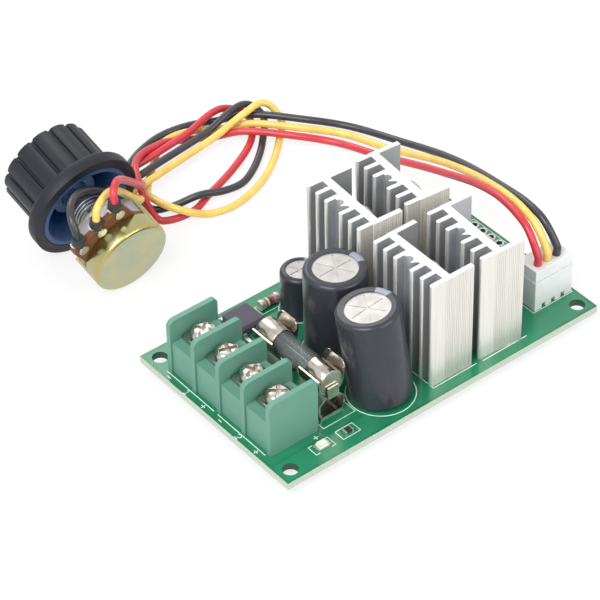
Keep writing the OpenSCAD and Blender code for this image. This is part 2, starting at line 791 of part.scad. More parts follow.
module transistor_tabs() {
    color("silver")
    for_each_sink() {
        difference() {
            translate([tab_x, -tab_w / 2, case_z])
            cube([tab_t, tab_w, tab_h]);
            translate([tab_x - over, 0, sink_hole_h])
            rotate([0, 90, 0])
            cylinder(r = tab_hole_r, h = tab_t + 2 * over, $fn = 32);
        }
        for (k = [-1:1])
            translate([case_x + leg_out, k * leg_pitch, plane_z - top_z])
            cylinder(r = leg_r, h = case_z - plane_z + top_z, $fn = 24);
    }
}

module thermal_pads() {
    color("slategray")
    for_each_sink()
    difference() {
        translate([back_x, -tab_w / 2, case_z])
        cube([pad_t, tab_w, tab_h]);
        translate([back_x - over, 0, sink_hole_h])
        rotate([0, 90, 0])
        cylinder(r = tab_hole_r, h = pad_t + 2 * over, $fn = 32);
    }
}

module heat_sink_screws() {
    color("lightsteelblue")
    for_each_sink()
    translate([case_x, 0, sink_hole_h])
    rotate([0, 90, 0]) {
        pan_head(sink_head_d, sink_head_h, head_edge_r);
        translate([0, 0, web_x - case_x])
        cylinder(r = sink_thread_r, h = case_x - web_x + fit);
    }
}

// Surface-mounted regulator: a body, a solder tab behind it and two bent leads in front
regulator_size = [6, 6, 2.3];
regulator_tab_size = [5.4, 1.2, 0.5];
regulator_lead = [0.8, 2.2, 0.5];
regulator_lead_pitch = 4.4;

module regulator_body() {
    s = regulator_size;
    color("dimgray")
    translate([regulator_at.x, regulator_at.y, top_z])
    difference() {
        translate([-s.x / 2, -s.y / 2, 0])
        cube(s);
        translate([-s.x / 2 - over, -s.y / 2, s.z])
        rotate([45, 0, 0])
        translate([0, -slack * 4, -slack * 4])
        cube([s.x + 2 * over, slack * 8, slack * 8]);
    }
}

module regulator_tab() {
    s = regulator_size;
    t = regulator_tab_size;
    l = regulator_lead;
    color("silver")
    translate([regulator_at.x, regulator_at.y, top_z]) {
        translate([-t.x / 2, s.y / 2, 0])
        cube(t);
        for (k = [-1, 1])
            translate([k * regulator_lead_pitch / 2 - l.x / 2, -s.y / 2 - l.y, 0]) {
                cube(l);
                translate([0, l.y - l.z, 0])
                cube([l.x, l.z, s.z / 2]);
            }
    }
}

// Eight-leg timer chip: the legs start inside the body's slots and stand on the board
chip_size = [4.9, 3.9, 1.5];
chip_stand = 0.15;
chip_leg = [0.42, 1, 0.2];
chip_leg_pitch = 1.27;

module timer_chip() {
    s = chip_size;
    color("black")
    translate([chip_at.x, chip_at.y, top_z]) {
        translate([-s.x / 2, -s.y / 2, chip_stand])
        cube(s);
        for (side = [-1, 1]) for (k = [-1.5:1.5])
            translate([k * chip_leg_pitch - chip_leg.x / 2, 0, 0]) {
                translate([0, side * (s.y / 2 + chip_leg.y / 2) - chip_leg.y / 2, 0])
                cube(chip_leg);
                translate([0, side * (s.y / 2 + chip_leg.z / 2) - chip_leg.z / 2, 0])
                cube([chip_leg.x, chip_leg.z, s.z / 2 + chip_stand]);
            }
    }
}

band_r = 1.1;
band_l = 4.6;
band_cap_l = 0.9;
band_waist = 0.12;

module banded_resistor() {
    color("burlywood")
    translate([band_resistor_at.x, band_resistor_at.y, top_z + band_r])
    rotate([0, 90, 0]) {
        cylinder(r = band_r - band_waist, h = band_l - 2 * band_cap_l, center = true);
        for (s = [-1, 1])
            translate([0, 0, s * (band_l - band_cap_l) / 2])
            cylinder(r = band_r, h = band_cap_l, center = true);
    }
}

smd_size = [2, 1.25, 0.55];
smd_end = 0.4;
smd_rim = 0.05;

module smd_resistors() {
    s = smd_size;
    color("darkslategray")
    for (p = smd_places)
        translate([p.x, p.y, top_z])
        rotate([0, 0, p[2]]) {
            translate([-s.x / 2, -s.y / 2 + smd_rim, 0])
            cube([s.x, s.y - 2 * smd_rim, s.z - smd_rim]);
            for (e = [-1, 1])
                translate([e * (s.x - smd_end) / 2 - smd_end / 2, -s.y / 2, 0])
                cube([smd_end, s.y, s.z]);
        }
}

led_size = [3.2, 1.6, 0.5];
led_lens = [1.9, 1.3, 0.55];

module status_led() {
    color("honeydew")
    translate([led_at.x, led_at.y, top_z]) {
        translate([-led_size.x / 2, -led_size.y / 2, 0])
        cube(led_size);
        translate([-led_lens.x / 2, -led_lens.y / 2, led_size.z])
        cube(led_lens);
    }
}

module at_header() translate([header_at.x, header_at.y, top_z]) children();

module header_housing() {
    l = header_l;
    w = header_w;
    t = header_wall;
    color("ivory")
    at_header()
    difference() {
        translate([-l / 2, -w / 2, 0])
        cube([l, w, header_h]);
        translate([-l / 2 + t, -w / 2 + t, header_floor])
        cube([l - 2 * t, w - 2 * t, header_h]);
        for (k = [-1:1])
            translate([k * plug_pitch - notch_w / 2, -w / 2 - over, -over])
            cube([notch_w, t + over, notch_h + over]);
        for (k = [-1:1])
            translate([k * plug_pitch, 0, -over])
            cylinder(r = pin_w * sqrt(2) / 2 + fit, h = header_floor + 2 * over, $fn = 24);
    }
}

module header_pins() {
    h = header_h - pin_top_gap - plane_z + top_z;
    color("gainsboro")
    for (i = [0:header_ways - 1])
        translate([pin_x(i) - pin_w / 2, header_at.y - pin_w / 2, plane_z])
        cube([pin_w, pin_w, h]);
}

module plug_housing() {
    l = header_l - 2 * header_wall - 2 * plug_slack;
    w = header_w - 2 * header_wall - 2 * plug_slack;
    z0 = header_floor + plug_body_gap;
    z1 = header_h + plug_body_gap / 4;
    cavity = contact_box + 2 * cavity_gap;
    color("ivory")
    at_header()
    difference() {
        union() {
            translate([-l / 2, -w / 2, z0])
            cube([l, w, z1 - z0 + slack]);
            translate([-header_l / 2 + plug_flange_in, -header_w / 2 + plug_flange_in, z1])
            cube([header_l - 2 * plug_flange_in, header_w - 2 * plug_flange_in, header_h + plug_top_h - z1]);
        }
        for (k = [-1:1])
            translate([k * plug_pitch - cavity / 2, -cavity / 2, z0 - over])
            cube([cavity, cavity, contact_box_h + over + 2 * cavity_gap]);
    }
}

module plug_contacts() {
    z0 = header_floor + plug_body_gap + cavity_gap;
    hole = pin_w + 2 * contact_gap;
    color("gold")
    at_header()
    for (k = [-1:1])
        translate([k * plug_pitch, 0, z0])
        difference() {
            translate([-contact_box / 2, -contact_box / 2, 0])
            cube([contact_box, contact_box, contact_box_h]);
            translate([-hole / 2, -hole / 2, -over])
            cube([hole, hole, contact_box_h + 2 * over]);
        }
}

// A round cord swept along points: each ring stands square to the mean of its two stretches
function unit(v) = v / norm(v);
function heading(p, i) =
    i == 0 ? unit(p[1] - p[0]) :
    i == len(p) - 1 ? unit(p[i] - p[i - 1]) :
    unit(unit(p[i] - p[i - 1]) + unit(p[i + 1] - p[i]));
function side(h) = unit(cross(h, abs(h.z) > 0.9 ? [0, 1, 0] : [0, 0, 1]));
function carried(p, i) =
    i == 0 ? side(heading(p, 0)) :
    let (s = carried(p, i - 1), h = heading(p, i)) unit(s - (s * h) * h);
function ring(p, i, r, n) =
    let (h = heading(p, i), s = carried(p, i), u = cross(h, s))
    [for (k = [0:n - 1]) p[i] + r * cos(360 * k / n) * s + r * sin(360 * k / n) * u];

module cord(p, d, n) {
    m = len(p);
    rings = [for (i = [0:m - 1]) each ring(p, i, d / 2, n)];
    walls = [for (i = [0:m - 2]) for (k = [0:n - 1])
        let (a = i * n + k, b = i * n + (k + 1) % n)
        each [[a, b, a + n], [b, b + n, a + n]]];
    caps = [for (k = [1:n - 2]) each [[0, k + 1, k], [(m - 1) * n, (m - 1) * n + k, (m - 1) * n + k + 1]]];
    polyhedron(rings, concat(walls, caps));
}

module wire_red() color("indianred") cord(red_path, wire_d, wire_sides);
module wire_yellow() color("khaki") cord(yellow_path, wire_d, wire_sides);
module wire_black() color("dimgray") cord(black_path, wire_d, wire_sides);

// The potentiometer lies tilted on two rims: its shaft points to +Y and slightly up
module pot_frame() {
    translate(pot_at)
    rotate([tilt - 90, 0, 0])
    children();
}

// Turns a piece so that its +X points to the solder lugs
module to_lugs() rotate([0, 0, lug_heading]) children();

module pot_cover() {
    r = pot_d / 2;
    e = cover_edge_r;
    t = cover_wall;
    color("darkkhaki")
    pot_frame()
    difference() {
        rotate_extrude($fn = 72)
        polygon(concat([[0, 0]], arc(r - e, e, e, -90, 0, 6), [[r, cover_front], [r - t, cover_front]],
            arc(r - e, e, e - t, 0, -90, 6), [[0, t]]));
        to_lugs()
        translate([cover_window_x, -pot_d, cover_depth])
        cube([pot_d, 2 * pot_d, cover_front]);
    }
}

module pot_front_plate() {
    r = pot_d / 2 - cover_wall - fit;
    z0 = wafer_z + wafer_t;
    bore_r = shaft_d / 2 + fit;
    color("gray")
    pot_frame()
    difference() {
        union() {
            translate([0, 0, z0])
            cylinder(r = r, h = cover_front - z0 + plate_t, $fn = 72);
            cylinder(d = bushing_d, h = bushing_end);
        }
        translate([0, 0, -over])
        cylinder(r = r, h = z0 + over);
        translate([0, 0, z0 - over])
        cylinder(r = bore_r, h = bushing_end);
    }
}

module pot_wafer() {
    color("peru")
    pot_frame()
    difference() {
        union() {
            translate([0, 0, wafer_z])
            cylinder(r = pot_d / 2 - cover_wall - fit, h = wafer_t, $fn = 72);
            to_lugs()
            translate([tongue_in, -tongue_w / 2, wafer_z])
            cube([tongue_l - tongue_in, tongue_w, wafer_t]);
        }
        translate([0, 0, wafer_z - over])
        cylinder(r = neck_r + slack, h = wafer_t + 2 * over);
        to_lugs()
        for (k = [-1:1])
            translate([rivet_at, k * lug_pitch, wafer_z - over])
            cylinder(r = rivet_r + fit, h = wafer_t + 2 * over, $fn = 24);
    }
}

// Horseshoe of resistive ink on the back of the wafer, open towards the lugs' middle
module resistive_track() {
    color("black")
    pot_frame()
    to_lugs()
    translate([0, 0, wafer_z - track_t])
    difference() {
        cylinder(r = track_out_r, h = track_t);
        translate([0, 0, -over])
        cylinder(r = track_in_r, h = track_t + 2 * over);
        translate([0, -(track_out_r - track_in_r), -over])
        cube([pot_d, 2 * (track_out_r - track_in_r), track_t + 2 * over]);
    }
}

module pot_lugs() {
    z0 = wafer_z + wafer_t;
    z1 = z0 - lug_drop;
    color("silver")
    pot_frame()
    to_lugs()
    for (k = [-1:1]) translate([0, k * lug_pitch, 0]) {
        translate([rivet_at - lug_w / 2, -lug_w / 2, z0])
        cube([tongue_l + slack + lug_t - rivet_at + lug_w / 2, lug_w, lug_t]);
        translate([tongue_l + slack, -lug_w / 2, z1])
        cube([lug_t, lug_w, lug_drop + lug_t]);
        translate([tongue_l + slack, -lug_w / 2, z1])
        cube([lug_reach, lug_w, lug_t]);
        translate([rivet_at, 0, wafer_z - lug_t])
        cylinder(r = rivet_r, h = wafer_t + 2.5 * lug_t, $fn = 24);
        translate([rivet_at, 0, wafer_z - lug_t])
        cylinder(r = rivet_head_r, h = lug_t - slack / 2, $fn = 24);
    }
}

// Shrink sleeves over the soldered joints, each rising from its lug
module lug_sleeves() {
    z = wafer_z + wafer_t - lug_drop + lug_t / 2;
    color("dimgray")
    pot_frame()
    for (k = [-1:1])
        translate([lug_solder_at * cos(lug_heading) - k * lug_pitch * sin(lug_heading),
            lug_solder_at * sin(lug_heading) + k * lug_pitch * cos(lug_heading), z])
        rotate([90, 0, 0])
        translate([0, 0, sleeve_from])
        cylinder(r = sleeve_r, h = sleeve_l);
}

// Wiper: a hub pressed on the shaft's neck and an arm whose spring finger rides on the track
module wiper() {
    z = wafer_z - track_t - fit - wiper_t;
    mid = (track_in_r + track_out_r) / 2;
    color("gold")
    pot_frame()
    difference() {
        union() {
            translate([0, 0, z])
            cylinder(r = wiper_hub_r, h = wiper_t);
            translate([-lug_w / 2, 0, z])
            cube([lug_w, mid, wiper_t]);
            translate([0, mid, z])
            cylinder(d = lug_w, h = wiper_t);
        }
        translate([0, 0, z - over])
        cylinder(r = neck_r - fit, h = wiper_t + 2 * over);
    }
}

module control_shaft() {
    z0 = wafer_z + wafer_t + slack;
    color("silver")
    pot_frame()
    difference() {
        union() {
            translate([0, 0, z0])
            cylinder(d = shaft_d, h = shaft_end - z0);
            translate([0, 0, cover_depth / 2])
            cylinder(r = neck_r - fit, h = z0 - cover_depth / 2 + over);
        }
        translate([shaft_d / 2 - flat_depth, -shaft_d, bushing_end + over])
        cube([shaft_d, 2 * shaft_d, shaft_end]);
    }
}

module lock_washer() {
    z = cover_front + plate_t;
    color("silver")
    pot_frame()
    translate([0, 0, z])
    difference() {
        union() {
            cylinder(r = washer_r - washer_t, h = washer_t);
            for (k = [0:washer_teeth - 1])
                rotate([0, 0, 360 * k / washer_teeth])
                translate([washer_r - 2 * washer_t, -washer_t, 0])
                cube([2 * washer_t, 2 * washer_t, washer_t]);
        }
        translate([0, 0, -over])
        cylinder(r = bushing_d / 2 + fit, h = washer_t + 2 * over);
    }
}

module bushing_nut() {
    z = cover_front + plate_t + washer_t;
    color("silver")
    pot_frame()
    translate([0, 0, z])
    difference() {
        intersection() {
            cylinder(r = nut_flats / sqrt(3), h = nut_t, $fn = 6);
            cylinder(d = nut_flats * 1.1, h = nut_t);
        }
        translate([0, 0, -over])
        cylinder(r = bushing_d / 2 + fit, h = nut_t + 2 * over);
    }
}

// Cross-section of the grip: broad round ribs with a narrow groove between each two
module grip_outline(r, core) {
    pitch = 360 / knob_flutes;
    difference() {
        union() {
            circle(r = core);
            for (k = [0:knob_flutes - 1])
                rotate(pitch * k)
                translate([r - flute_r, 0])
                circle(r = flute_r);
        }
        for (k = [0:knob_flutes - 1])
            rotate(pitch * (k + 0.5))
            translate([r - groove_out, 0])
            circle(r = groove_r, $fn = 16);
    }
}

// Knob shell: a rounded skirt under the grip, hollow from below
module knob_shell() {
    grip_r = knob_grip_d / 2;
    skirt_r = knob_skirt_d / 2;
    e = skirt_edge_r;
    z1 = skirt_z + skirt_h;
    z0 = z1 - skirt_fall;
    core_r = grip_r - flute_r / 4;
    color("darkslategray")
    pot_frame()
    difference() {
        union() {
            rotate_extrude($fn = 96)
            polygon(concat([[0, skirt_z], [skirt_r, skirt_z]], arc(skirt_r - e, z0 - e, e, 0, 90, 5),
                [[core_r, z1], [core_r, knob_top_z - knob_wall], [core_r - knob_wall, knob_top_z],
                [0, knob_top_z]]));
            translate([0, 0, z0])
            linear_extrude(knob_top_z - knob_wall / 2 - z0)
            grip_outline(grip_r, core_r);
        }
        translate([0, 0, skirt_z - over])
        cylinder(r = insert_r + fit, h = knob_h - knob_wall + over);
        rotate_extrude($fn = 96)
        polygon([[0, skirt_z - over], [skirt_r - skirt_wall, skirt_z - over], [skirt_r - skirt_wall, skirt_z],
            [insert_r - slack, z1 + 2 * slack], [0, z1 + 2 * slack]]);
    }
}

// Insert: a lining inside the shell, a floor and a boss that grips the shaft
module knob_insert() {
    rim_r = knob_skirt_d / 2 - skirt_wall - slack;
    z1 = skirt_z + skirt_h - slack;
    floor_z1 = shaft_end - insert_floor_t;
    color("royalblue")
    pot_frame()
    difference() {
        rotate_extrude($fn = 96)
        polygon([[0, skirt_z + boss_gap], [boss_r, skirt_z + boss_gap], [boss_r, floor_z1 - insert_floor_t],
            [insert_r - knob_wall, floor_z1 - insert_floor_t], [insert_r - knob_wall, z1],
            [rim_r - knob_wall, skirt_z], [rim_r, skirt_z], [insert_r, z1], [insert_r, floor_z1],
            [boss_r, floor_z1], [boss_r, shaft_end], [0, shaft_end]]);
        difference() {
            translate([0, 0, skirt_z])
            cylinder(d = shaft_d + 2 * fit, h = shaft_end);
            translate([shaft_d / 2 - flat_depth + fit, -shaft_d, bushing_end + over + fit])
            cube([shaft_d, 2 * shaft_d, shaft_end]);
        }
    }
}

circuit_board();
solder_joints();
terminal_block();
terminal_contacts();
clamp_plate_1();
clamp_plate_2();
clamp_plate_3();
clamp_plate_4();
terminal_screw_1();
terminal_screw_2();
terminal_screw_3();
terminal_screw_4();
fuse_clip_front();
fuse_clip_rear();
fuse_glass();
fuse_caps();
fuse_wire();
front_capacitor_can();
front_capacitor_sleeve();
rear_capacitor_can();
rear_capacitor_sleeve();
small_capacitor_can();
small_capacitor_sleeve();
capacitor_bungs();
capacitor_windings();
capacitor_leads();
heat_sink_1();
heat_sink_2();
heat_sink_3();
heat_sink_4();
transistor_bodies();
transistor_tabs();
thermal_pads();
heat_sink_screws();
regulator_body();
regulator_tab();
timer_chip();
banded_resistor();
smd_resistors();
status_led();
header_housing();
header_pins();
plug_housing();
plug_contacts();
wire_red();
wire_yellow();
wire_black();
pot_cover();
pot_front_plate();
pot_wafer();
resistive_track();
pot_lugs();
lug_sleeves();
wiper();
control_shaft();
bushing_nut();
lock_washer();
knob_shell();
knob_insert();
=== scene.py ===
"""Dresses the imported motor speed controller: its finishes, wires and markings, with the light and the camera.

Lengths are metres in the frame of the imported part: the origin is the middle of the board's hole pattern on
its underside, +X runs towards the plug, +Y towards the knob and +Z up out of the component side.
"""

import json
import logging
import math
from dataclasses import dataclass
from enum import Enum
from functools import cache
from typing import Any, ClassVar, Iterable, Sequence

import bmesh
import bpy
from mathutils import Matrix, Vector

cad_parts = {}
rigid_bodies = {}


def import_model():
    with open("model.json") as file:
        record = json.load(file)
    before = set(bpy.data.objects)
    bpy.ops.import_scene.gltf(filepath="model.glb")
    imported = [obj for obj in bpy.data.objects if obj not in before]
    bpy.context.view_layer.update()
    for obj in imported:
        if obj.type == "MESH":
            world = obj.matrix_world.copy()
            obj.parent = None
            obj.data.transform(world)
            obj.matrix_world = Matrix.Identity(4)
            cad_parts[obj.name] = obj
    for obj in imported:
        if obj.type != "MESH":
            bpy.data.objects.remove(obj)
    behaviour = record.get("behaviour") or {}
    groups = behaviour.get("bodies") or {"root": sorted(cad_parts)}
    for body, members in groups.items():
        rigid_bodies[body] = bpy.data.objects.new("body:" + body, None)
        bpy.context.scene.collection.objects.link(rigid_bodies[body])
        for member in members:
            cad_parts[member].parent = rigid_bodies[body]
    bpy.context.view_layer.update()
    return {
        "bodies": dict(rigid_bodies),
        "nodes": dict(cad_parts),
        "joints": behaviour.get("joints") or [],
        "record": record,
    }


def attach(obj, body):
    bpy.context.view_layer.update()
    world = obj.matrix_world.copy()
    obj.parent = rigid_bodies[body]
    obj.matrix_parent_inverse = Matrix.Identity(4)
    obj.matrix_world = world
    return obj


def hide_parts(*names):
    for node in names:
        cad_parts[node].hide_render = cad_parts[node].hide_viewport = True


LOG = logging.getLogger("speed_controller")
MM = 0.001
Colour = tuple[float, float, float]
Point = tuple[float, float, float]
Spot = tuple[float, float]
Socket = bpy.types.NodeSocket

BOARD_TOP = 1.6 * MM
TABLE_Z = -1.8 * MM
WHITE: Colour = (1.0, 1.0, 1.0)


def linear(red: int, green: int, blue: int) -> Colour:
    """Turns a display colour, 0 to 255 a channel, into the linear colour that shaders take."""
    shares = [channel / 255 for channel in (red, green, blue)]
    return tuple(((c + 0.055) / 1.055) ** 2.4 if c > 0.04 else c / 12.92 for c in shares)


def scaled(colour: Colour, factor: float) -> Colour:
    """A colour made lighter or darker, kept within 0 and 1."""
    return tuple(min(1.0, c * factor) for c in colour)


class Tree:
    """A node tree, and the one way in which the script adds to it."""

    def __init__(self, tree: bpy.types.NodeTree) -> None:
        """Wraps a tree and empties it."""
        self.tree = tree
        self.tree.nodes.clear()

    def node(self, kind: str, inputs: dict | None = None, **settings: Any) -> bpy.types.Node:
        """Adds a node.

        Args:
            kind: The node's type.
            inputs: Values, sockets or fields by input name or number.
            settings: Its own settings; "stops" are a ramp's places and colours.

        Returns:
            The new node.
        """
        node = self.tree.nodes.new(kind)
        for key, value in settings.items():
            if key == "stops":
                self._stops(node.color_ramp, value)
            else:
                setattr(node, key, value)
        for key, value in (inputs or {}).items():
            self.feed(node.inputs[key], value)
        return node

    def first(self, kind: str, inputs: dict | None = None, **settings: Any) -> Socket:
        """Adds a node, and returns its first output."""
        return self.node(kind, inputs, **settings).outputs[0]

    def feed(self, socket: Socket, value: Any) -> None:
        """Links or sets one input socket."""
        source = value.socket if isinstance(value, Field) else value
        if isinstance(source, Socket):
            self.tree.links.new(source, socket)
        elif socket.type == "RGBA" and len(source) == 3:
            socket.default_value = (*source, 1.0)
        else:
            socket.default_value = source

    @staticmethod
    def _stops(ramp: bpy.types.ColorRamp, stops: Sequence[tuple[float, Colour]]) -> None:
        """Sets a colour ramp's stops."""
        while len(ramp.elements) < len(stops):
            ramp.elements.new(1.0)
        for element, (place, colour) in zip(ramp.elements, stops):
            element.position = place
            element.color = (*colour, 1.0)


class Field:
    """A number that varies over a surface, written with plain operators."""

    def __init__(self, owner: Tree, socket: Socket) -> None:
        """Wraps a socket of a tree."""
        self.owner = owner
        self.socket = socket

    def maths(self, operation: str, *others: Any, clamp: bool = False) -> "Field":
        """Adds one Math node.

        Args:
            operation: The Math node's operation.
            others: The second and third inputs, numbers or fields.
            clamp: Whether the result is held within 0 and 1.

        Returns:
            The node's result.
        """
        inputs = dict(enumerate((self, *others)))
        result = self.owner.first("ShaderNodeMath", inputs, operation=operation, use_clamp=clamp)
        return Field(self.owner, result)

    def __add__(self, other: Any) -> "Field":
        """Sum."""
        return self.maths("ADD", other)

    def __sub__(self, other: Any) -> "Field":
        """Difference."""
        return self.maths("SUBTRACT", other)

    def __rsub__(self, other: Any) -> "Field":
        """Difference from a number."""
        return self.maths("MULTIPLY", -1.0).maths("ADD", other)

    def __mul__(self, other: Any) -> "Field":
        """Product."""
        return self.maths("MULTIPLY", other)

    def __truediv__(self, other: Any) -> "Field":
        """Quotient."""
        return self.maths("DIVIDE", other)

    def __abs__(self) -> "Field":
        """Size without its sign."""
        return self.maths("ABSOLUTE")

    def above(self, edge: Any) -> "Field":
        """1 where the field is over the edge, and 0 elsewhere."""
        return self.maths("GREATER_THAN", edge)

    def below(self, edge: Any) -> "Field":
        """1 where the field is under the edge, and 0 elsewhere."""
        return self.maths("LESS_THAN", edge)

    def between(self, low: float, high: float) -> "Field":
        """1 between two edges, and 0 elsewhere."""
        return self.above(low) * self.below(high)

    def ramp(self, low: float = 0.3, high: float = 0.7) -> "Field":
        """0 at low, 1 at high, straight between and held outside: by default, the middle of a noise."""
        return ((self - low) / (high - low)).maths("ADD", 0.0, clamp=True)


class Shader(Tree):
    """A material's node tree round one Principled shader."""

    def __init__(self, name: str) -> None:
        """Starts an empty material of that name."""
        self.material = bpy.data.materials.new(name)
        self.material.use_nodes = True
        super().__init__(self.material.node_tree)
        self.output = self.node("ShaderNodeOutputMaterial")
        self.surface = self.node("ShaderNodeBsdfPrincipled")
        self.feed(self.output.inputs[0], self.surface.outputs[0])

    def set(self, **sockets: Any) -> "Shader":
        """Sets the Principled shader's sockets, by name with underscores for spaces."""
        for name, value in sockets.items():
            self.feed(self.surface.inputs[name.replace("_", " ")], value)
        return self

    def place(self) -> Socket:
        """The point on the piece, in object coordinates."""
        return self.node("ShaderNodeTexCoord").outputs["Object"]

    def axes(self, vector: Socket | None = None) -> tuple[Field, Field, Field]:
        """The three parts of a vector, or of the point on the piece."""
        split = self.node("ShaderNodeSeparateXYZ", {0: vector or self.place()})
        return tuple(Field(self, socket) for socket in split.outputs)

    def facing(self, axis: int) -> Field:
        """One part of the surface's true normal."""
        normal = self.node("ShaderNodeNewGeometry").outputs["True Normal"]
        return self.axes(normal)[axis]

    def flat(self) -> Field:
        """1 on faces that look up or down, and 0 on the sides."""
        return abs(self.facing(2)).above(0.7)

    def moved(self, centre: Point, turn: Point) -> Socket:
        """Object coordinates in a piece's own frame.

        Args:
            centre: The frame's origin.
            turn: The frame's turn about X, Y and Z, in radians.

        Returns:
            The vector's socket.
        """
        inputs = {0: self.place(), 1: centre, 2: turn}
        return self.first("ShaderNodeMapping", inputs, vector_type="TEXTURE")

    def noise(self, size: float, stretch: Point = (1.0, 1.0, 1.0), detail: float = 3.0,
              vector: Socket | None = None) -> Field:
        """Even noise about one half.

        Args:
            size: The size of its features, in metres.
            stretch: Factors on the coordinates; a small one draws the features out.
            detail: Octaves.
            vector: Coordinates, or the point on the piece.

        Returns:
            The noise, 0 to 1.
        """
        factors = {0: vector or self.place(), 1: stretch}
        stretched = self.first("ShaderNodeVectorMath", factors, operation="MULTIPLY")
        inputs = {"Vector": stretched, "Scale": 1 / size, "Detail": detail}
        return Field(self, self.first("ShaderNodeTexNoise", inputs))

    def blend(self, factor: Any, first: Any, second: Any) -> Socket:
        """Mixes two colours, the second where the factor is 1."""
        return self.node("ShaderNodeMix", {0: factor, 6: first, 7: second}, data_type="RGBA").outputs[2]

    def shades(self, factor: Any, colour: Colour, dark: float, light: float = 1.0) -> Socket:
        """Mixes two shades of a colour, the lighter where the factor is 1."""
        return self.blend(factor, scaled(colour, dark), scaled(colour, light))

    def bump(self, height: Field, depth: float, strength: float = 1.0) -> Socket:
        """A normal from a height of 0 to 1 over a depth in metres."""
        return self.first("ShaderNodeBump", {"Strength": strength, "Distance": depth, "Height": height})


class Finish:
    """A finish, which makes one material and shares it among the pieces that wear it."""

    name: str

    @cache
    def material(self) -> bpy.types.Material:
        """Makes the material once, and returns the same one from then on."""
        shader = Shader(self.name)
        self.paint(shader)
        return shader.material

    def paint(self, shader: Shader) -> None:
        """Links the finish's own nodes to the shader."""
        raise NotImplementedError


@dataclass(frozen=True)
class Moulded(Finish):
    """A moulded plastic or rubber: an even colour with faint flow marks and a fine grain."""

    name: str
    colour: Colour
    rough: float = 0.42
    mottle: float = 0.08
    cloud_size: float = 4 * MM
    grain: float = 0.25 * MM
    depth: float = 0.012 * MM
    gloss: float = 0.4
    rough_swing: float = 0.16

    def paint(self, shader: Shader) -> None:
        """Links the finish."""
        cloud = shader.noise(self.cloud_size, detail=4)
        fine = shader.noise(self.grain, detail=2)
        colour = shader.shades(cloud.ramp(), self.colour, 1 - self.mottle, 1 + self.mottle)
        low = self.rough - self.rough_swing / 2
        shader.set(Base_Color=colour, Roughness=cloud * self.rough_swing + low)
        shader.set(Normal=shader.bump(fine, self.depth), Specular_IOR_Level=self.gloss)


@dataclass(frozen=True)
class Metal(Finish):
    """A bare or plated metal, with drawn lines along one axis, stains and worn spots."""

    name: str
    colour: Colour
    rough: float = 0.28
    lines: Point = (1.0, 1.0, 1.0)
    line_size: float = 0.3 * MM
    cloud_size: float = 2.5 * MM
    depth: float = 0.006 * MM
    stain: Colour | None = None
    stain_edges: Spot = (0.35, 0.75)
    stain_share: float = 0.7
    stain_shade: float = 0.72
    cloud_swing: float = 0.2
    line_swing: float = 0.12

    def paint(self, shader: Shader) -> None:
        """Links the finish."""
        drawn = shader.noise(self.line_size, self.lines, 2)
        cloud = shader.noise(self.cloud_size, detail=5)
        stained = self.stain or scaled(self.colour, self.stain_shade)
        colour = shader.blend(cloud.ramp(*self.stain_edges) * self.stain_share, self.colour, stained)
        shader.set(Base_Color=colour, Metallic=1.0, Normal=shader.bump(drawn, self.depth))
        low = self.rough - (self.cloud_swing + self.line_swing) / 2
        shader.set(Roughness=cloud * self.cloud_swing + drawn * self.line_swing + low)


@dataclass(frozen=True)
class YellowZinc(Finish):
    """The cover's passivated zinc: olive on its wall, golden on its rolled rim (partly the zinc's own tone,
    partly a painted highlight), paler on its flat back.
    """

    axis: Point
    name: str = "cover_yellow_zinc"
    wall: Colour = linear(178, 174, 124)
    # rim is the golden colour of the rolled rim: partly the zinc's own tone, partly a painted highlight
    rim: Colour = linear(202, 170, 92)
    back: Colour = linear(188, 184, 146)
    bloom: Colour = linear(170, 180, 154)
    bloom_size: float = 6 * MM
    bloom_edges: Spot = (0.35, 0.7)
    rim_highlight_edges: Spot = (0.05, 0.5)
    back_edges: Spot = (0.7, 0.97)
    back_dull: float = 0.12
    rough: float = 0.16
    cloud_swing: float = 0.12
    grain_swing: float = 0.06
    grain: float = 0.3 * MM
    depth: float = 0.004 * MM

    def paint(self, shader: Shader) -> None:
        """Links the finish."""
        x, y, z = (shader.facing(k) * part for k, part in enumerate(self.axis))
        along = abs(x + y + z)
        cloud = shader.noise(self.bloom_size, detail=2)
        fine = shader.noise(self.grain, detail=2)
        flat = shader.blend(cloud.ramp(*self.bloom_edges), self.back, self.bloom)
        # Partly painted highlight: the rolled rim turns golden by its angle to the shaft
        rolled = shader.blend(along.ramp(*self.rim_highlight_edges), self.wall, self.rim)
        colour = shader.blend(along.ramp(*self.back_edges), rolled, flat)
        shader.set(Base_Color=colour, Metallic=1 - along * self.back_dull)
        shader.set(Roughness=cloud * self.cloud_swing + fine * self.grain_swing + self.rough)
        shader.set(Normal=shader.bump(fine, self.depth))


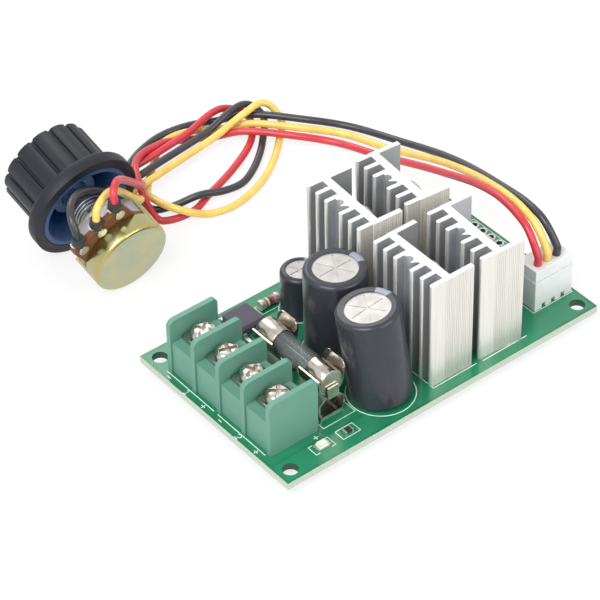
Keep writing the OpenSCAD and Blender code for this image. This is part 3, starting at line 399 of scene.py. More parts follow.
@dataclass(frozen=True)
class SolderMask(Finish):
    """The board: green lacquer over copper on its faces, and bare laminate on its cut edges."""

    name: str = "board_mask"
    green: Colour = linear(30, 128, 90)
    deep: Colour = linear(18, 100, 70)
    copper_green: Colour = linear(36, 134, 96)
    laminate: Colour = linear(190, 200, 184)
    bore: Colour = linear(46, 82, 64)
    half: Spot = (39.0 * MM, 23.0 * MM)
    edge_depth: float = 0.3 * MM
    pour_inset: float = 0.6 * MM
    gap_half: float = 0.3 * MM
    slant_gap_half: float = 0.35 * MM
    cloud_size: float = 9 * MM
    weave_size: float = 0.4 * MM
    weave_shade: float = 0.8
    weave_height: float = 0.1
    pour_share: float = 0.55
    edge_rough: float = 0.5
    face_gloss: float = 0.32
    rough_swing: float = 0.12
    coat: float = 0.5
    depth: float = 0.02 * MM

    def paint(self, shader: Shader) -> None:
        """Links the finish."""
        x, y, _ = shader.axes()
        cloud = shader.noise(self.cloud_size, detail=3)
        weave = shader.noise(self.weave_size, (1.0, 1.0, 3.0), 2)
        pour = self._pour(x, y)
        green = shader.blend(cloud.ramp(), self.deep, self.green)
        green = shader.blend(pour * self.pour_share, green, self.copper_green)
        edge = shader.shades(weave, self.laminate, self.weave_shade)
        edge = shader.blend(1 - self._within(x, y, self.edge_depth), self.bore, edge)
        flat = shader.flat()
        shader.set(Base_Color=shader.blend(flat, edge, green))
        shader.set(Roughness=flat * -self.face_gloss + cloud * self.rough_swing + self.edge_rough)
        shader.set(Coat_Weight=flat * self.coat, Coat_Roughness=0.12)
        shader.set(Normal=shader.bump(pour + weave * self.weave_height, self.depth, strength=0.6))

    def _within(self, x: Field, y: Field, inset: float) -> Field:
        """1 where a place on the board is further than the inset from its sides, and 0 nearer."""
        return abs(x).below(self.half[0] - inset) * abs(y).below(self.half[1] - inset)

    def _pour(self, x: Field, y: Field) -> Field:
        """1 where copper lies under the lacquer, in broad pours, and 0 over the gaps between them."""
        gaps = (
            abs(x + 25.6 * MM).below(self.gap_half) * y.above(-17 * MM),
            abs(y + 17.4 * MM).below(self.gap_half) * x.below(-2 * MM),
            abs(x - 10.2 * MM).below(self.gap_half),
            abs(x - 24.0 * MM).below(self.gap_half) * abs(y).below(16 * MM),
            abs(x + y * 0.6 + 13 * MM).below(self.slant_gap_half) * y.above(6 * MM),
            abs(y - 0.6 * MM).below(self.gap_half) * x.above(0.5 * MM),
        )
        copper = self._within(x, y, self.pour_inset)
        for gap in gaps:
            copper = copper * (1 - gap)
        return copper


@dataclass(frozen=True)
class ShrinkSleeve(Finish):
    """A capacitor's black sleeve, with a pale stripe down one side and plain dashes on it."""

    name: str
    foot: Point
    height: float
    lean: float = 0.0
    lean_heading: float = 0.0
    stripe_heading: float = math.radians(45)
    black: Colour = linear(47, 49, 56)
    pale: Colour = linear(146, 150, 168)
    stripe_half: float = math.radians(17)
    dashes: int = 5
    dash_share: float = 0.2
    dashed_share: float = 0.97
    dash_rows: Spot = (0.3, 0.7)
    shades: Spot = (0.8, 1.25)
    rough: float = 0.2
    rough_swing: float = 0.2
    cloud_size: float = 3 * MM
    ripple_size: float = 1.8 * MM
    depth: float = 0.08 * MM

    def paint(self, shader: Shader) -> None:
        """Links the finish."""
        x, y, z = shader.axes(self._upright(shader))
        side = abs(y.maths("ARCTAN2", x))
        row = (z / (self.height / self.dashes)).maths("FRACT")
        dash = side.below(self.stripe_half * self.dash_share) * row.between(*self.dash_rows)
        dash = dash * z.below(self.height * self.dashed_share)
        cloud = shader.noise(self.cloud_size, (1.0, 1.0, 0.5), 4)
        ripple = shader.noise(self.ripple_size, (1.0, 1.0, 0.4), 3)
        black = shader.shades(cloud, self.black, *self.shades)
        colour = shader.blend(side.below(self.stripe_half) * (1 - dash), black, self.pale)
        shader.set(Base_Color=colour, Roughness=cloud * self.rough_swing + self.rough)
        shader.set(Normal=shader.bump(ripple, self.depth))
        shader.set(Coat_Weight=0.15, Coat_Roughness=0.15, Specular_IOR_Level=0.35)

    def _upright(self, shader: Shader) -> Socket:
        """The point on the sleeve with the leaned axis along Z and the stripe towards +X."""
        about = Matrix.Rotation(self.lean_heading, 3, "Z") @ Matrix.Rotation(self.lean, 3, "Y")
        turned = about @ Matrix.Rotation(self.stripe_heading - self.lean_heading, 3, "Z")
        return shader.moved(self.foot, tuple(turned.to_euler("XYZ")))


@dataclass(frozen=True)
class Extrusion(Finish):
    """A heat sink's aluminium: bright sawn ends and outer faces, long lines on its sides, and painted shade
    that darkens the channels between the fins.
    """

    name: str
    centre: Spot
    turn: float
    side: Colour = linear(234, 232, 226)
    end: Colour = linear(228, 228, 230)
    # channel is the painted shade colour of the channels between the fins; outer_at and tips_at bound where it
    # is painted
    channel: Colour = linear(182, 185, 190)
    outer_at: float = 8.6 * MM
    tips_at: float = -4.85 * MM
    drawn_size: float = 0.5 * MM
    sawn_size: float = 0.3 * MM
    cloud_size: float = 6 * MM
    drawn_shade: float = 0.88
    sawn_shade: float = 0.86
    stain_edges: Spot = (0.5, 0.8)
    stain_share: float = 0.25
    stain_shade: float = 0.75
    channel_shade_share: float = 0.8
    metal: float = 0.62
    end_dull: float = 0.12
    rough: float = 0.3
    rough_swing: float = 0.12
    end_rough: float = 0.14
    depth: float = 0.018 * MM

    def paint(self, shader: Shader) -> None:
        """Links the finish."""
        top = shader.flat()
        drawn = shader.noise(self.drawn_size, (1.0, 1.0, 0.02), 3)
        sawn = shader.noise(self.sawn_size, (0.15, 1.0, 1.0), 3)
        cloud = shader.noise(self.cloud_size, (1.0, 1.0, 0.4), 4)
        side = shader.shades(drawn.ramp(), self.side, self.drawn_shade)
        stain = cloud.ramp(*self.stain_edges) * self.stain_share
        side = shader.blend(stain, side, scaled(self.side, self.stain_shade))
        # Painted shade: the channels between the fins and behind them take the darker channel colour
        side = shader.blend(self._painted_channel_shade(shader) * self.channel_shade_share, side, self.channel)
        end = shader.shades(sawn.ramp(), self.end, self.sawn_shade)
        height = sawn * top + drawn * (1 - top)
        shader.set(Base_Color=shader.blend(top, side, end), Metallic=self.metal - top * self.end_dull)
        shader.set(Roughness=drawn * self.rough_swing + top * self.end_rough + self.rough)
        shader.set(Normal=shader.bump(height, self.depth))

    def _painted_channel_shade(self, shader: Shader) -> Field:
        """Where painted shade falls: 1 in the channels between the fins and behind them, and 0 on the outer
        faces.
        """
        x, y, _ = shader.axes(shader.moved((*self.centre, 0.0), (0.0, 0.0, self.turn)))
        return abs(y).below(self.outer_at) * x.above(self.tips_at)


@dataclass(frozen=True)
class Banded(Finish):
    """A lacquered resistor with colour bands between two plated ends, from its low end in X."""

    name: str = "resistor_bands"
    low_x: float = -12.9 * MM
    length: float = 4.6 * MM
    bands: tuple[tuple[float, Colour], ...] = (
        (0.0, linear(222, 220, 208)),
        (0.24, linear(134, 132, 96)),
        (0.36, linear(232, 228, 220)),
        (0.44, linear(120, 34, 40)),
        (0.58, linear(96, 92, 98)),
        (0.70, linear(196, 120, 128)),
        (0.82, linear(216, 214, 206)),
    )
    dirt: Colour = linear(90, 84, 78)
    dirt_share: float = 0.3
    body: Spot = (0.2, 0.8)
    end_metal: float = 0.7
    rough: float = 0.2
    rough_swing: float = 0.15
    cloud_size: float = 0.8 * MM
    depth: float = 0.01 * MM

    def paint(self, shader: Shader) -> None:
        """Links the finish."""
        x = shader.axes()[0]
        along = (x - self.low_x) / self.length
        ramp = shader.node("ShaderNodeValToRGB", {0: along}, stops=self.bands)
        ramp.color_ramp.interpolation = "CONSTANT"
        ends = 1 - along.between(*self.body)
        cloud = shader.noise(self.cloud_size, detail=3)
        colour = shader.blend(cloud * self.dirt_share, ramp.outputs[0], self.dirt)
        shader.set(Base_Color=colour, Metallic=ends * self.end_metal, Coat_Weight=0.4)
        shader.set(Roughness=cloud * self.rough_swing + self.rough, Normal=shader.bump(cloud, self.depth))


@dataclass(frozen=True)
class ChipEnds(Finish):
    """A small surface-mounted part: a dark or pale body between two tinned ends, at its own turn."""

    name: str
    body: Colour
    places: tuple[tuple[float, float, float], ...]
    end: Colour = linear(206, 206, 204)
    half: float = 1.0 * MM
    cap: float = 0.4 * MM
    reach_share: float = 1.2
    cloud_size: float = 0.6 * MM
    shades: Spot = (0.85, 1.15)
    end_metal: float = 0.9
    rough: float = 0.42
    end_gloss: float = 0.12
    rough_swing: float = 0.1
    depth: float = 0.015 * MM

    def paint(self, shader: Shader) -> None:
        """Links the finish."""
        x, y, _ = shader.axes()
        reach = self.half * self.reach_share
        tinned: Field | None = None
        for at_x, at_y, turn in self.places:
            along = (x - at_x) * math.cos(turn) + (y - at_y) * math.sin(turn)
            across = (y - at_y) * math.cos(turn) - (x - at_x) * math.sin(turn)
            here = abs(across).below(reach) * abs(along).between(self.half - self.cap, reach)
            tinned = here if tinned is None else tinned.maths("MAXIMUM", here)
        cloud = shader.noise(self.cloud_size, detail=3)
        body = shader.shades(cloud, self.body, *self.shades)
        colour = shader.blend(tinned, body, self.end)
        shader.set(Base_Color=colour, Metallic=tinned * self.end_metal)
        shader.set(Roughness=self.rough - tinned * self.end_gloss + cloud * self.rough_swing)
        shader.set(Normal=shader.bump(cloud, self.depth))


@dataclass(frozen=True)
class Insulation(Finish):
    """A wire's soft vinyl skin: waxy, with faint draw lines along it."""

    name: str
    colour: Colour
    line_share: float = 0.06
    cloud_size: float = 3 * MM
    shades: Spot = (0.88, 1.08)
    rough: float = 0.27
    rough_swing: float = 0.14
    depth: float = 0.02 * MM

    def paint(self, shader: Shader) -> None:
        """Links the finish."""
        uv = shader.node("ShaderNodeTexCoord").outputs["UV"]
        drawn = shader.noise(self.line_share, (1.0, 0.15, 1.0), 3, uv)
        cloud = shader.noise(self.cloud_size, detail=3)
        colour = shader.shades(cloud.ramp(), self.colour, *self.shades)
        shader.set(Base_Color=colour, Roughness=cloud * self.rough_swing + self.rough)
        shader.set(Coat_Weight=0.15, Coat_Roughness=0.3, Normal=shader.bump(drawn, self.depth))


@dataclass(frozen=True)
class TubeGlass(Finish):
    """Clear thin glass with a faint smoke to it."""

    name: str = "fuse_tube_glass"
    dark: Colour = linear(120, 124, 124)
    light: Colour = linear(140, 146, 146)
    cloud_size: float = 2 * MM
    rough: float = 0.03
    rough_swing: float = 0.05
    cover: float = 0.22
    cover_swing: float = 0.1

    def paint(self, shader: Shader) -> None:
        """Links the finish."""
        cloud = shader.noise(self.cloud_size, detail=2)
        smoke = shader.blend(cloud, self.dark, self.light)
        shader.set(Base_Color=smoke, Roughness=cloud * self.rough_swing + self.rough, IOR=1.45)
        shader.set(Alpha=cloud * self.cover_swing + self.cover)


class Recipe(Tree):
    """A geometry node tree that is built step by step and turned into a plain mesh."""

    def __init__(self, name: str, sizes: dict[str, float]) -> None:
        """Starts a tree with one named input for each size.

        Args:
            name: The name of the tree and of the piece that it makes.
            sizes: Each input's name and value.
        """
        super().__init__(bpy.data.node_groups.new(name, "GeometryNodeTree"))
        self.name = name
        self.sizes = sizes
        self.keys: dict[str, str] = {}
        sockets = self.tree.interface
        sockets.new_socket("Geometry", in_out="INPUT", socket_type="NodeSocketGeometry")
        sockets.new_socket("Geometry", in_out="OUTPUT", socket_type="NodeSocketGeometry")
        for label in sizes:
            socket = sockets.new_socket(label, in_out="INPUT", socket_type="NodeSocketFloat")
            self.keys[label] = socket.identifier
        self.given = self.node("NodeGroupInput")
        self.result = self.node("NodeGroupOutput")

    def size(self, label: str) -> Socket:
        """The socket of a named size."""
        return self.given.outputs[label]

    def circle(self, radius: Any, sides: int) -> Socket:
        """A circle of straight pieces."""
        return self.first("GeometryNodeCurvePrimitiveCircle", {"Resolution": sides, "Radius": radius})

    def rectangle(self) -> Socket:
        """A rectangle of the tree's own width and height."""
        sides = {0: self.size("Width"), 1: self.size("Height")}
        return self.first("GeometryNodeCurvePrimitiveQuadrilateral", sides)

    def swept(self, path: Socket, section: Socket) -> Socket:
        """A section swept along a path, closed at its ends."""
        return self.first("GeometryNodeCurveToMesh", {0: path, 1: section, "Fill Caps": True})

    def on_points(self, piece: Socket, scale: Any = (1.0, 1.0, 1.0)) -> Socket:
        """A copy of a piece on each of the seed's points."""
        inputs = {0: self.given.outputs[0], 2: piece, "Scale": scale}
        return self.first("GeometryNodeInstanceOnPoints", inputs)

    def close(self, geometry: Socket, finish: Finish) -> None:
        """Ends the tree in real geometry with its finish."""
        real = self.first("GeometryNodeRealizeInstances", {0: geometry})
        painted = self.first("GeometryNodeSetMaterial", {0: real, "Material": finish.material()})
        self.feed(self.result.inputs[0], painted)

    def run(self, seed: bpy.types.Mesh) -> bpy.types.Object:
        """Runs the tree on a seed mesh.

        Args:
            seed: The mesh that the tree starts from.

        Returns:
            The piece, as a plain mesh without a modifier.
        """
        piece = placed(self.name, seed)
        modifier = piece.modifiers.new("build", "NODES")
        modifier.node_group = self.tree
        for label, value in self.sizes.items():
            modifier[self.keys[label]] = value
        graph = bpy.context.evaluated_depsgraph_get()
        mesh = bpy.data.meshes.new_from_object(piece.evaluated_get(graph))
        piece.modifiers.clear()
        piece.data = mesh
        mesh.name = self.name
        return piece


def placed(name: str, data: bpy.types.ID) -> bpy.types.Object:
    """A new object in the scene, with its data."""
    piece = bpy.data.objects.new(name, data)
    bpy.context.collection.objects.link(piece)
    return piece


def seed_mesh(name: str, points: Iterable[Point], lines: Iterable[tuple[int, int]] = (),
              sizes: Sequence[float] = ()) -> bpy.types.Mesh:
    """A mesh of loose points and lines.

    Args:
        name: The mesh's name.
        points: The points.
        lines: Pairs of point numbers.
        sizes: A "size" for each point, if the tree reads one.

    Returns:
        The mesh.
    """
    mesh = bpy.data.meshes.new(name)
    mesh.from_pydata(list(points), list(lines), [])
    if sizes:
        layer = mesh.attributes.new("size", "FLOAT", "POINT")
        layer.data.foreach_set("value", sizes)
    return mesh


def ride(piece: bpy.types.Object, body: str) -> None:
    """Lets a new piece ride on a body, and reports it."""
    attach(piece, body)
    LOG.info("piece %s: %d faces, on %s", piece.name, len(piece.data.polygons), body)


@dataclass
class Part:
    """A sub-assembly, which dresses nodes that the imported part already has."""

    frame: dict
    weld_gap: ClassVar[float] = 0.002 * MM
    flat_angle: ClassVar[float] = math.radians(0.5)
    edge_angle: ClassVar[float] = math.radians(34)

    def dress(self, node: str, finish: Finish, bevel: float = 0.0, flat: bool = True) -> bpy.types.Object:
        """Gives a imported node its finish, and softens its edges.

        Args:
            node: The node's name.
            finish: Its finish.
            bevel: The width of the softened edges, in metres, or 0 for sharp ones.
            flat: Whether coplanar triangles are joined before the edges are softened.

        Returns:
            The node's object.
        """
        piece = self.frame["nodes"][node]
        piece.data.materials.clear()
        piece.data.materials.append(finish.material())
        piece.data.polygons.foreach_set("material_index", [0] * len(piece.data.polygons))
        weld = piece.modifiers.new("weld", "WELD")
        weld.merge_threshold = self.weld_gap
        if bevel and flat:
            flatten = piece.modifiers.new("flatten", "DECIMATE")
            flatten.decimate_type = "DISSOLVE"
            flatten.angle_limit = self.flat_angle
        if bevel:
            round_off = piece.modifiers.new("round_off", "BEVEL")
            round_off.width = bevel
            round_off.segments = 2
            round_off.limit_method = "ANGLE"
            round_off.angle_limit = self.edge_angle
            round_off.use_clamp_overlap = True
            round_off.harden_normals = True
        LOG.info("node %s dressed in %s", node, finish.name)
        return piece


PLASTIC_GREEN = Moulded(
    "block_green", linear(98, 147, 129), rough=0.5, mottle=0.04, grain=0.4 * MM, depth=0.01 * MM)
NYLON = Moulded("nylon_white", linear(220, 222, 222), rough=0.45, mottle=0.03)
EPOXY = Moulded(
    "moulded_black", linear(58, 58, 64), rough=0.62, mottle=0.1, grain=0.15 * MM, depth=0.02 * MM)
REGULATOR_EPOXY = Moulded(
    "regulator_moulding", linear(84, 80, 92), rough=0.6, grain=0.18 * MM, depth=0.02 * MM)
RUBBER = Moulded("bung_rubber", linear(30, 30, 32), rough=0.8)
PAD_SILICONE = Moulded("pad_silicone", linear(150, 156, 160), rough=0.7)
SHRINK_TUBE = Moulded("shrink_tube", linear(44, 45, 50), rough=0.5)
WINDING_PAPER = Moulded("winding_paper", linear(190, 176, 130), rough=0.8)
CARD = Moulded(
    "track_card", linear(118, 74, 44), rough=0.6, mottle=0.2, grain=0.6 * MM, depth=0.02 * MM)
CARBON = Moulded("carbon_ink", linear(28, 28, 28), rough=0.7)
KNOB_PLASTIC = Moulded(
    "knob_black", linear(29, 32, 39), rough=0.46, mottle=0.12, grain=0.22 * MM, depth=0.03 * MM, gloss=0.3)
INSERT_PLASTIC = Moulded("insert_blue", linear(34, 76, 126), rough=0.34)
INK_WHITE = Moulded(
    "ink_white", linear(238, 240, 236), rough=0.7, mottle=0.04, grain=0.2 * MM, depth=0.01 * MM)
CHIP_CERAMIC = linear(44, 44, 48)
LED_PLASTIC = linear(226, 228, 214)

ZINC = Metal("zinc_plated", linear(206, 203, 198), rough=0.24, stain=linear(150, 132, 118))
NICKEL = Metal("nickel_plated", linear(204, 198, 188), rough=0.2, stain=linear(142, 132, 120))
TIN = Metal("tinned", linear(212, 212, 210), rough=0.34)
SOLDER = Metal("solder", linear(204, 206, 208), rough=0.22, line_size=1 * MM)
CAN = Metal(
    "can_aluminium", linear(198, 195, 192), rough=0.52, lines=(1.0, 0.2, 1.0), line_size=0.4 * MM)
BRASS = Metal("contact_brass", linear(212, 180, 110), rough=0.3)
DIE_CAST = Metal("die_cast_zinc", linear(176, 178, 180), rough=0.45)
SHAFT = Metal("shaft_aluminium", linear(210, 211, 214), rough=0.26, lines=(1.0, 0.1, 1.0))
STEEL = Metal("screw_steel", linear(196, 198, 202), rough=0.26)


@dataclass(frozen=True)
class CapacitorPlace:
    """Where a capacitor stands, in millimetres, and how its sleeve's stripe lies, in degrees."""

    x: float
    y: float
    height: float
    foot: float
    stripe: float
    lead_out: float
    ring: float
    lean: float = 0.0
    lean_heading: float = 0.0


CAPACITORS = {
    "front": CapacitorPlace(-9.75, -14.75, height=20.6, foot=2.62, stripe=16, lead_out=2.5, ring=6.8,
                            lean=7, lean_heading=143),
    "rear": CapacitorPlace(-8.55, 0.1, height=20.6, foot=1.85, stripe=-2, lead_out=2.5, ring=6.8),
    "small": CapacitorPlace(-6.2, 13.9, height=10.0, foot=1.85, stripe=20, lead_out=1.75, ring=4.4),
}
# Places on the board, in millimetres and degrees: each chip resistor and each heat sink with its turn
CHIP_PLACES = (
    (-21.5, -19.1, 0), (25, 12.5, 90), (25, 5, 90), (34.5, 12.5, 90), (34.2, 4.5, 90), (-22.3, 13.2, 0),
)
SINK_PLACES = ((4.2, 10, -3.6), (16.2, 9.85, -5), (3.5, -11.25, -0.5), (16.35, -11.5, -3.8))
LAMP_SPOT: Spot = (-27.8, -19.15)


@dataclass(frozen=True)
class Leads:
    """The leads and open holes that carry a ring, in millimetres on the board."""

    pad_row: Spot = (37.2, 3.9)
    pads: int = 4
    pad_pitch: float = 2.54
    pad_r: float = 0.5
    terminal_row: Spot = (-28.0, 0.4)
    ways: int = 4
    way_pitch: float = 7.62
    blade_r: float = 0.5
    fuse: Spot = (-20.9, -3.7)
    clip_leg: Spot = (2.5, 7.0)
    clip_r: float = 0.63
    plug: Spot = (33.25, -13.5)
    pin_pitch: float = 2.5
    pin_r: float = 0.45
    thin_r: float = 0.28
    leg_out: float = 2.675
    legs: Point = (-3.14, -0.6, 1.94)
    leg_r: float = 0.36

    def places(self) -> list[Point]:
        """Each ring's x, y and inner radius."""
        (pad_x, pad_y), (way_x, way_y), (fuse_x, fuse_y), (pin_x, pin_y) = (
            self.pad_row, self.terminal_row, self.fuse, self.plug)
        middle = (self.ways - 1) / 2
        leads = [(pad_x, pad_y + self.pad_pitch * k, self.pad_r) for k in range(self.pads)]
        leads += [(way_x, way_y + (middle - k) * self.way_pitch, self.blade_r) for k in range(self.ways)]
        leads += [(fuse_x + side * self.clip_leg[0], fuse_y + end * self.clip_leg[1], self.clip_r)
                  for end in (-1, 1) for side in (-1, 1)]
        leads += [(pin_x + k * self.pin_pitch, pin_y, self.pin_r) for k in (-1, 0, 1)]
        leads += [(can.x, can.y + side * can.lead_out, self.thin_r)
                  for can in CAPACITORS.values() for side in (-1, 1)]
        for x, y, turn in SINK_PLACES:
            c, s = math.cos(math.radians(turn)), math.sin(math.radians(turn))
            out_x, out_y = x + self.leg_out * c, y + self.leg_out * s
            leads += [(out_x - v * s, out_y + v * c, self.leg_r) for v in self.legs]
        return leads


class Sign(Enum):
    """A sign printed beside a terminal, as strokes in shares of its height."""

    PLUS = (((0.0, 0.5), (0.8, 0.5)), ((0.4, 0.1), (0.4, 0.9)))
    MINUS = (((0.0, 0.5), (0.8, 0.5)),)
    ONE = (((0.1, 0.75), (0.4, 1.0), (0.4, 0.0)), ((0.1, 0.0), (0.7, 0.0)))
    TWO = (((0.0, 0.8), (0.2, 1.0), (0.6, 1.0), (0.8, 0.8), (0.8, 0.6), (0.0, 0.0), (0.8, 0.0)),)


@dataclass
class Board(Part):
    """The bare board with its printed marks, its pads and its small surface-mounted parts."""

    leads: Leads = Leads()
    ink_width: float = 0.2 * MM
    ink_height: float = 0.03 * MM
    sign_height: float = 1.25
    ring_out: float = 0.35 * MM
    ring_width_share: float = 0.5
    ring_height_share: float = 0.1
    ring_sides: int = 28
    circle_sides: int = 48
    signs: tuple[tuple[Sign, float, float], ...] = (
        (Sign.MINUS, -38.9, 15.0),
        (Sign.ONE, -38.9, 9.3),
        (Sign.PLUS, -38.9, 4.2),
        (Sign.MINUS, -38.9, -1.0),
        (Sign.TWO, -38.9, -6.6),
        (Sign.PLUS, -38.9, -12.0),
        (Sign.PLUS, -27.9, -16.2),
    )

    def build(self) -> None:
        """Dresses the board and adds what is printed on it."""
        self.dress("circuit_board", SolderMask(), 0.08 * MM)
        self.dress("solder_joints", SOLDER)
        self._print()
        self._rings()
        self._small_parts()

    def _outlines(self) -> list[list[Spot]]:
        """The printed lines, in millimetres on the board's top."""
        lines = [
            [(-24.6, 4.0), (-24.6, 8.3), (-16.9, 8.3), (-16.9, -15.7), (-24.6, -15.7), (-24.6, -11.0)],
            [(-37.5, 16.15), (-37.5, 1.38)],
            [(-37.5, 0.24), (-37.5, -14.36)],
            [(36.1, 12.9), (38.3, 12.9), (38.3, 2.0), (36.1, 2.0), (36.1, 12.9)],
            [(27.9, -10.2), (27.9, -16.6), (38.2, -16.6), (38.2, -10.2), (27.9, -10.2)],
            [(-8.0, 20.0), (-13.2, 20.0), (-13.2, 17.3), (-8.0, 17.3), (-8.0, 20.0)],
            [(-23.55, -17.8), (-19.45, -17.8), (-19.45, -20.4), (-23.55, -20.4), (-23.55, -17.8)],
            [(-29.2, -17.9), (-30.1, -17.9), (-30.1, -20.4), (-29.2, -20.4)],
            [(-26.4, -17.9), (-25.5, -17.9), (-25.5, -20.4), (-26.4, -20.4)],
            [(-21.6, 13.6), (-21.6, 21.8), (-14.4, 21.8), (-14.4, 13.6)],
            [(-1.4, -2.4), (-1.4, -20.4), (9.6, -20.4)],
            [(11.0, -20.6), (22.4, -20.6)],
            [(-1.0, 19.4), (22.0, 19.4), (22.0, 16.0)],
            [(26.6, 5.4), (26.6, 10.6), (32.4, 10.6), (32.4, 5.4), (26.6, 5.4)],
        ]
        turns = [2 * math.pi * k / self.circle_sides for k in range(self.circle_sides + 1)]
        for can in CAPACITORS.values():
            lines.append([(can.x + can.ring * math.cos(a), can.y + can.ring * math.sin(a)) for a in turns])
        return lines

    def _sign(self, sign: Sign, x: float, y: float) -> list[list[Spot]]:
        """A sign's strokes in millimetres, for a reader at the board's left edge."""
        tall = self.sign_height
        return [[(x + v * tall, y - u * tall) for u, v in stroke] for stroke in sign.value]

    def _print(self) -> None:
        """Prints the outlines and signs as thin raised ink."""
        strokes = self._outlines()
        for sign, x, y in self.signs:
            strokes += self._sign(sign, x, y)
        points, lines = [], []
        for stroke in strokes:
            for k, (x, y) in enumerate(stroke):
                if k:
                    lines.append((len(points) - 1, len(points)))
                points.append((x * MM, y * MM, BOARD_TOP))
        ink = Recipe("printed_marks", {"Width": self.ink_width, "Height": self.ink_height})
        path = ink.first("GeometryNodeMeshToCurve", {0: ink.given.outputs[0]})
        ink.close(ink.swept(path, ink.rectangle()), INK_WHITE)
        ride(ink.run(seed_mesh("ink_lines", points, lines)), "board")

    def _rings(self) -> None:
        """Puts a tinned ring round each lead and each open hole, above and below."""
        rings = Recipe("pad_rings", {"Width": self.ring_width_share, "Height": self.ring_height_share})
        ring = rings.swept(rings.circle(1.0, self.ring_sides), rings.rectangle())
        scale = rings.first("GeometryNodeInputNamedAttribute", {0: "size"}, data_type="FLOAT")
        rings.close(rings.on_points(ring, scale), TIN)
        spots = [(x * MM, y * MM, r * MM) for x, y, r in self.leads.places()]
        points = [(x, y, z) for x, y, r in spots for z in (BOARD_TOP, 0.0)]
        sizes = [r + self.ring_out for x, y, r in spots for side in ("top", "bottom")]
        ride(rings.run(seed_mesh("ring_spots", points, (), sizes)), "board")

    def _small_parts(self) -> None:
        """Dresses the chip, the regulator, the resistors and the lamp."""
        places = tuple((x * MM, y * MM, math.radians(turn)) for x, y, turn in CHIP_PLACES)
        lamp_place = (LAMP_SPOT[0] * MM, LAMP_SPOT[1] * MM, 0.0)
        resistors = ChipEnds("chip_resistor", CHIP_CERAMIC, places)
        lamp = ChipEnds("lamp", LED_PLASTIC, (lamp_place,), half=1.6 * MM, cap=0.5 * MM)
        self.dress("smd_resistors", resistors, 0.04 * MM)
        self.dress("status_led", lamp, 0.08 * MM)
        self.dress("timer_chip", EPOXY, 0.06 * MM)
        self.dress("regulator_body", REGULATOR_EPOXY, 0.12 * MM)
        self.dress("regulator_tab", TIN, 0.05 * MM)
        self.dress("banded_resistor", Banded(), 0.08 * MM)


@dataclass
class TerminalStrip(Part):
    """The screw terminals: the moulded block, its contacts, clamp plates and screws."""

    ways: int = 4

    def build(self) -> None:
        """Dresses the strip."""
        self.dress("terminal_block", PLASTIC_GREEN, 0.1 * MM, flat=False)
        self.dress("terminal_contacts", ZINC, 0.05 * MM)
        for way in range(1, self.ways + 1):
            self.dress(f"clamp_plate_{way}", ZINC, 0.06 * MM)
            self.dress(f"terminal_screw_{way}", ZINC, 0.05 * MM, flat=False)


@dataclass
class FuseHolder(Part):
    """The glass fuse in its two spring clips."""

    def build(self) -> None:
        """Dresses the fuse and the clips."""
        self.dress("fuse_clip_front", NICKEL, 0.06 * MM)
        self.dress("fuse_clip_rear", NICKEL, 0.06 * MM)
        self.dress("fuse_caps", NICKEL, 0.12 * MM)
        self.dress("fuse_glass", TubeGlass())
        self.dress("fuse_wire", TIN)


@dataclass
class Capacitors(Part):
    """The three electrolytic capacitors."""

    def build(self) -> None:
        """Dresses the cans, sleeves, bungs and leads."""
        for name, place in CAPACITORS.items():
            foot = (place.x * MM, place.y * MM, place.foot * MM)
            angles = [math.radians(turn) for turn in (place.lean, place.lean_heading, place.stripe)]
            sleeve = ShrinkSleeve(f"sleeve_{name}", foot, place.height * MM, *angles)
            self.dress(f"{name}_capacitor_can", CAN)
            self.dress(f"{name}_capacitor_sleeve", sleeve)
        self.dress("capacitor_bungs", RUBBER)
        self.dress("capacitor_windings", WINDING_PAPER)
        self.dress("capacitor_leads", TIN)


@dataclass
class HeatSinks(Part):
    """The four finned heat sinks, each with its transistor, pad and screw."""

    def build(self) -> None:
        """Dresses the sinks and what is screwed to them."""
        for number, (x, y, turn) in enumerate(SINK_PLACES, 1):
            aluminium = Extrusion(f"sink_aluminium_{number}", (x * MM, y * MM), math.radians(turn))
            self.dress(f"heat_sink_{number}", aluminium, 0.07 * MM)
        self.dress("transistor_bodies", EPOXY, 0.15 * MM)
        self.dress("transistor_tabs", TIN, 0.06 * MM)
        self.dress("thermal_pads", PAD_SILICONE)
        self.dress("heat_sink_screws", STEEL, 0.08 * MM)


def smooth_path(points: Sequence[Point], steps: int, floor: float) -> list[Vector]:
    """A smooth line through points, never under a height.

    Args:
        points: The points that it goes through.
        steps: Pieces between two points.
        floor: Its least height.

    Returns:
        The line's points.
    """
    knots = [Vector(p) for p in points]
    last = len(knots) - 1
    ways = [(knots[min(i + 1, last)] - knots[max(i - 1, 0)]).normalized() for i in range(last + 1)]
    line = [knots[0]]
    for i in range(last):
        span = (knots[i + 1] - knots[i]).length
        for k in range(1, steps + 1):
            t = k / steps
            h0, h1 = 2 * t**3 - 3 * t**2 + 1, t**3 - 2 * t**2 + t
            h2, h3 = -2 * t**3 + 3 * t**2, t**3 - t**2
            point = knots[i] * h0 + ways[i] * (span * h1) + knots[i + 1] * h2 + ways[i + 1] * (span * h3)
            line.append(Vector((point.x, point.y, max(point.z, floor))))
    return line


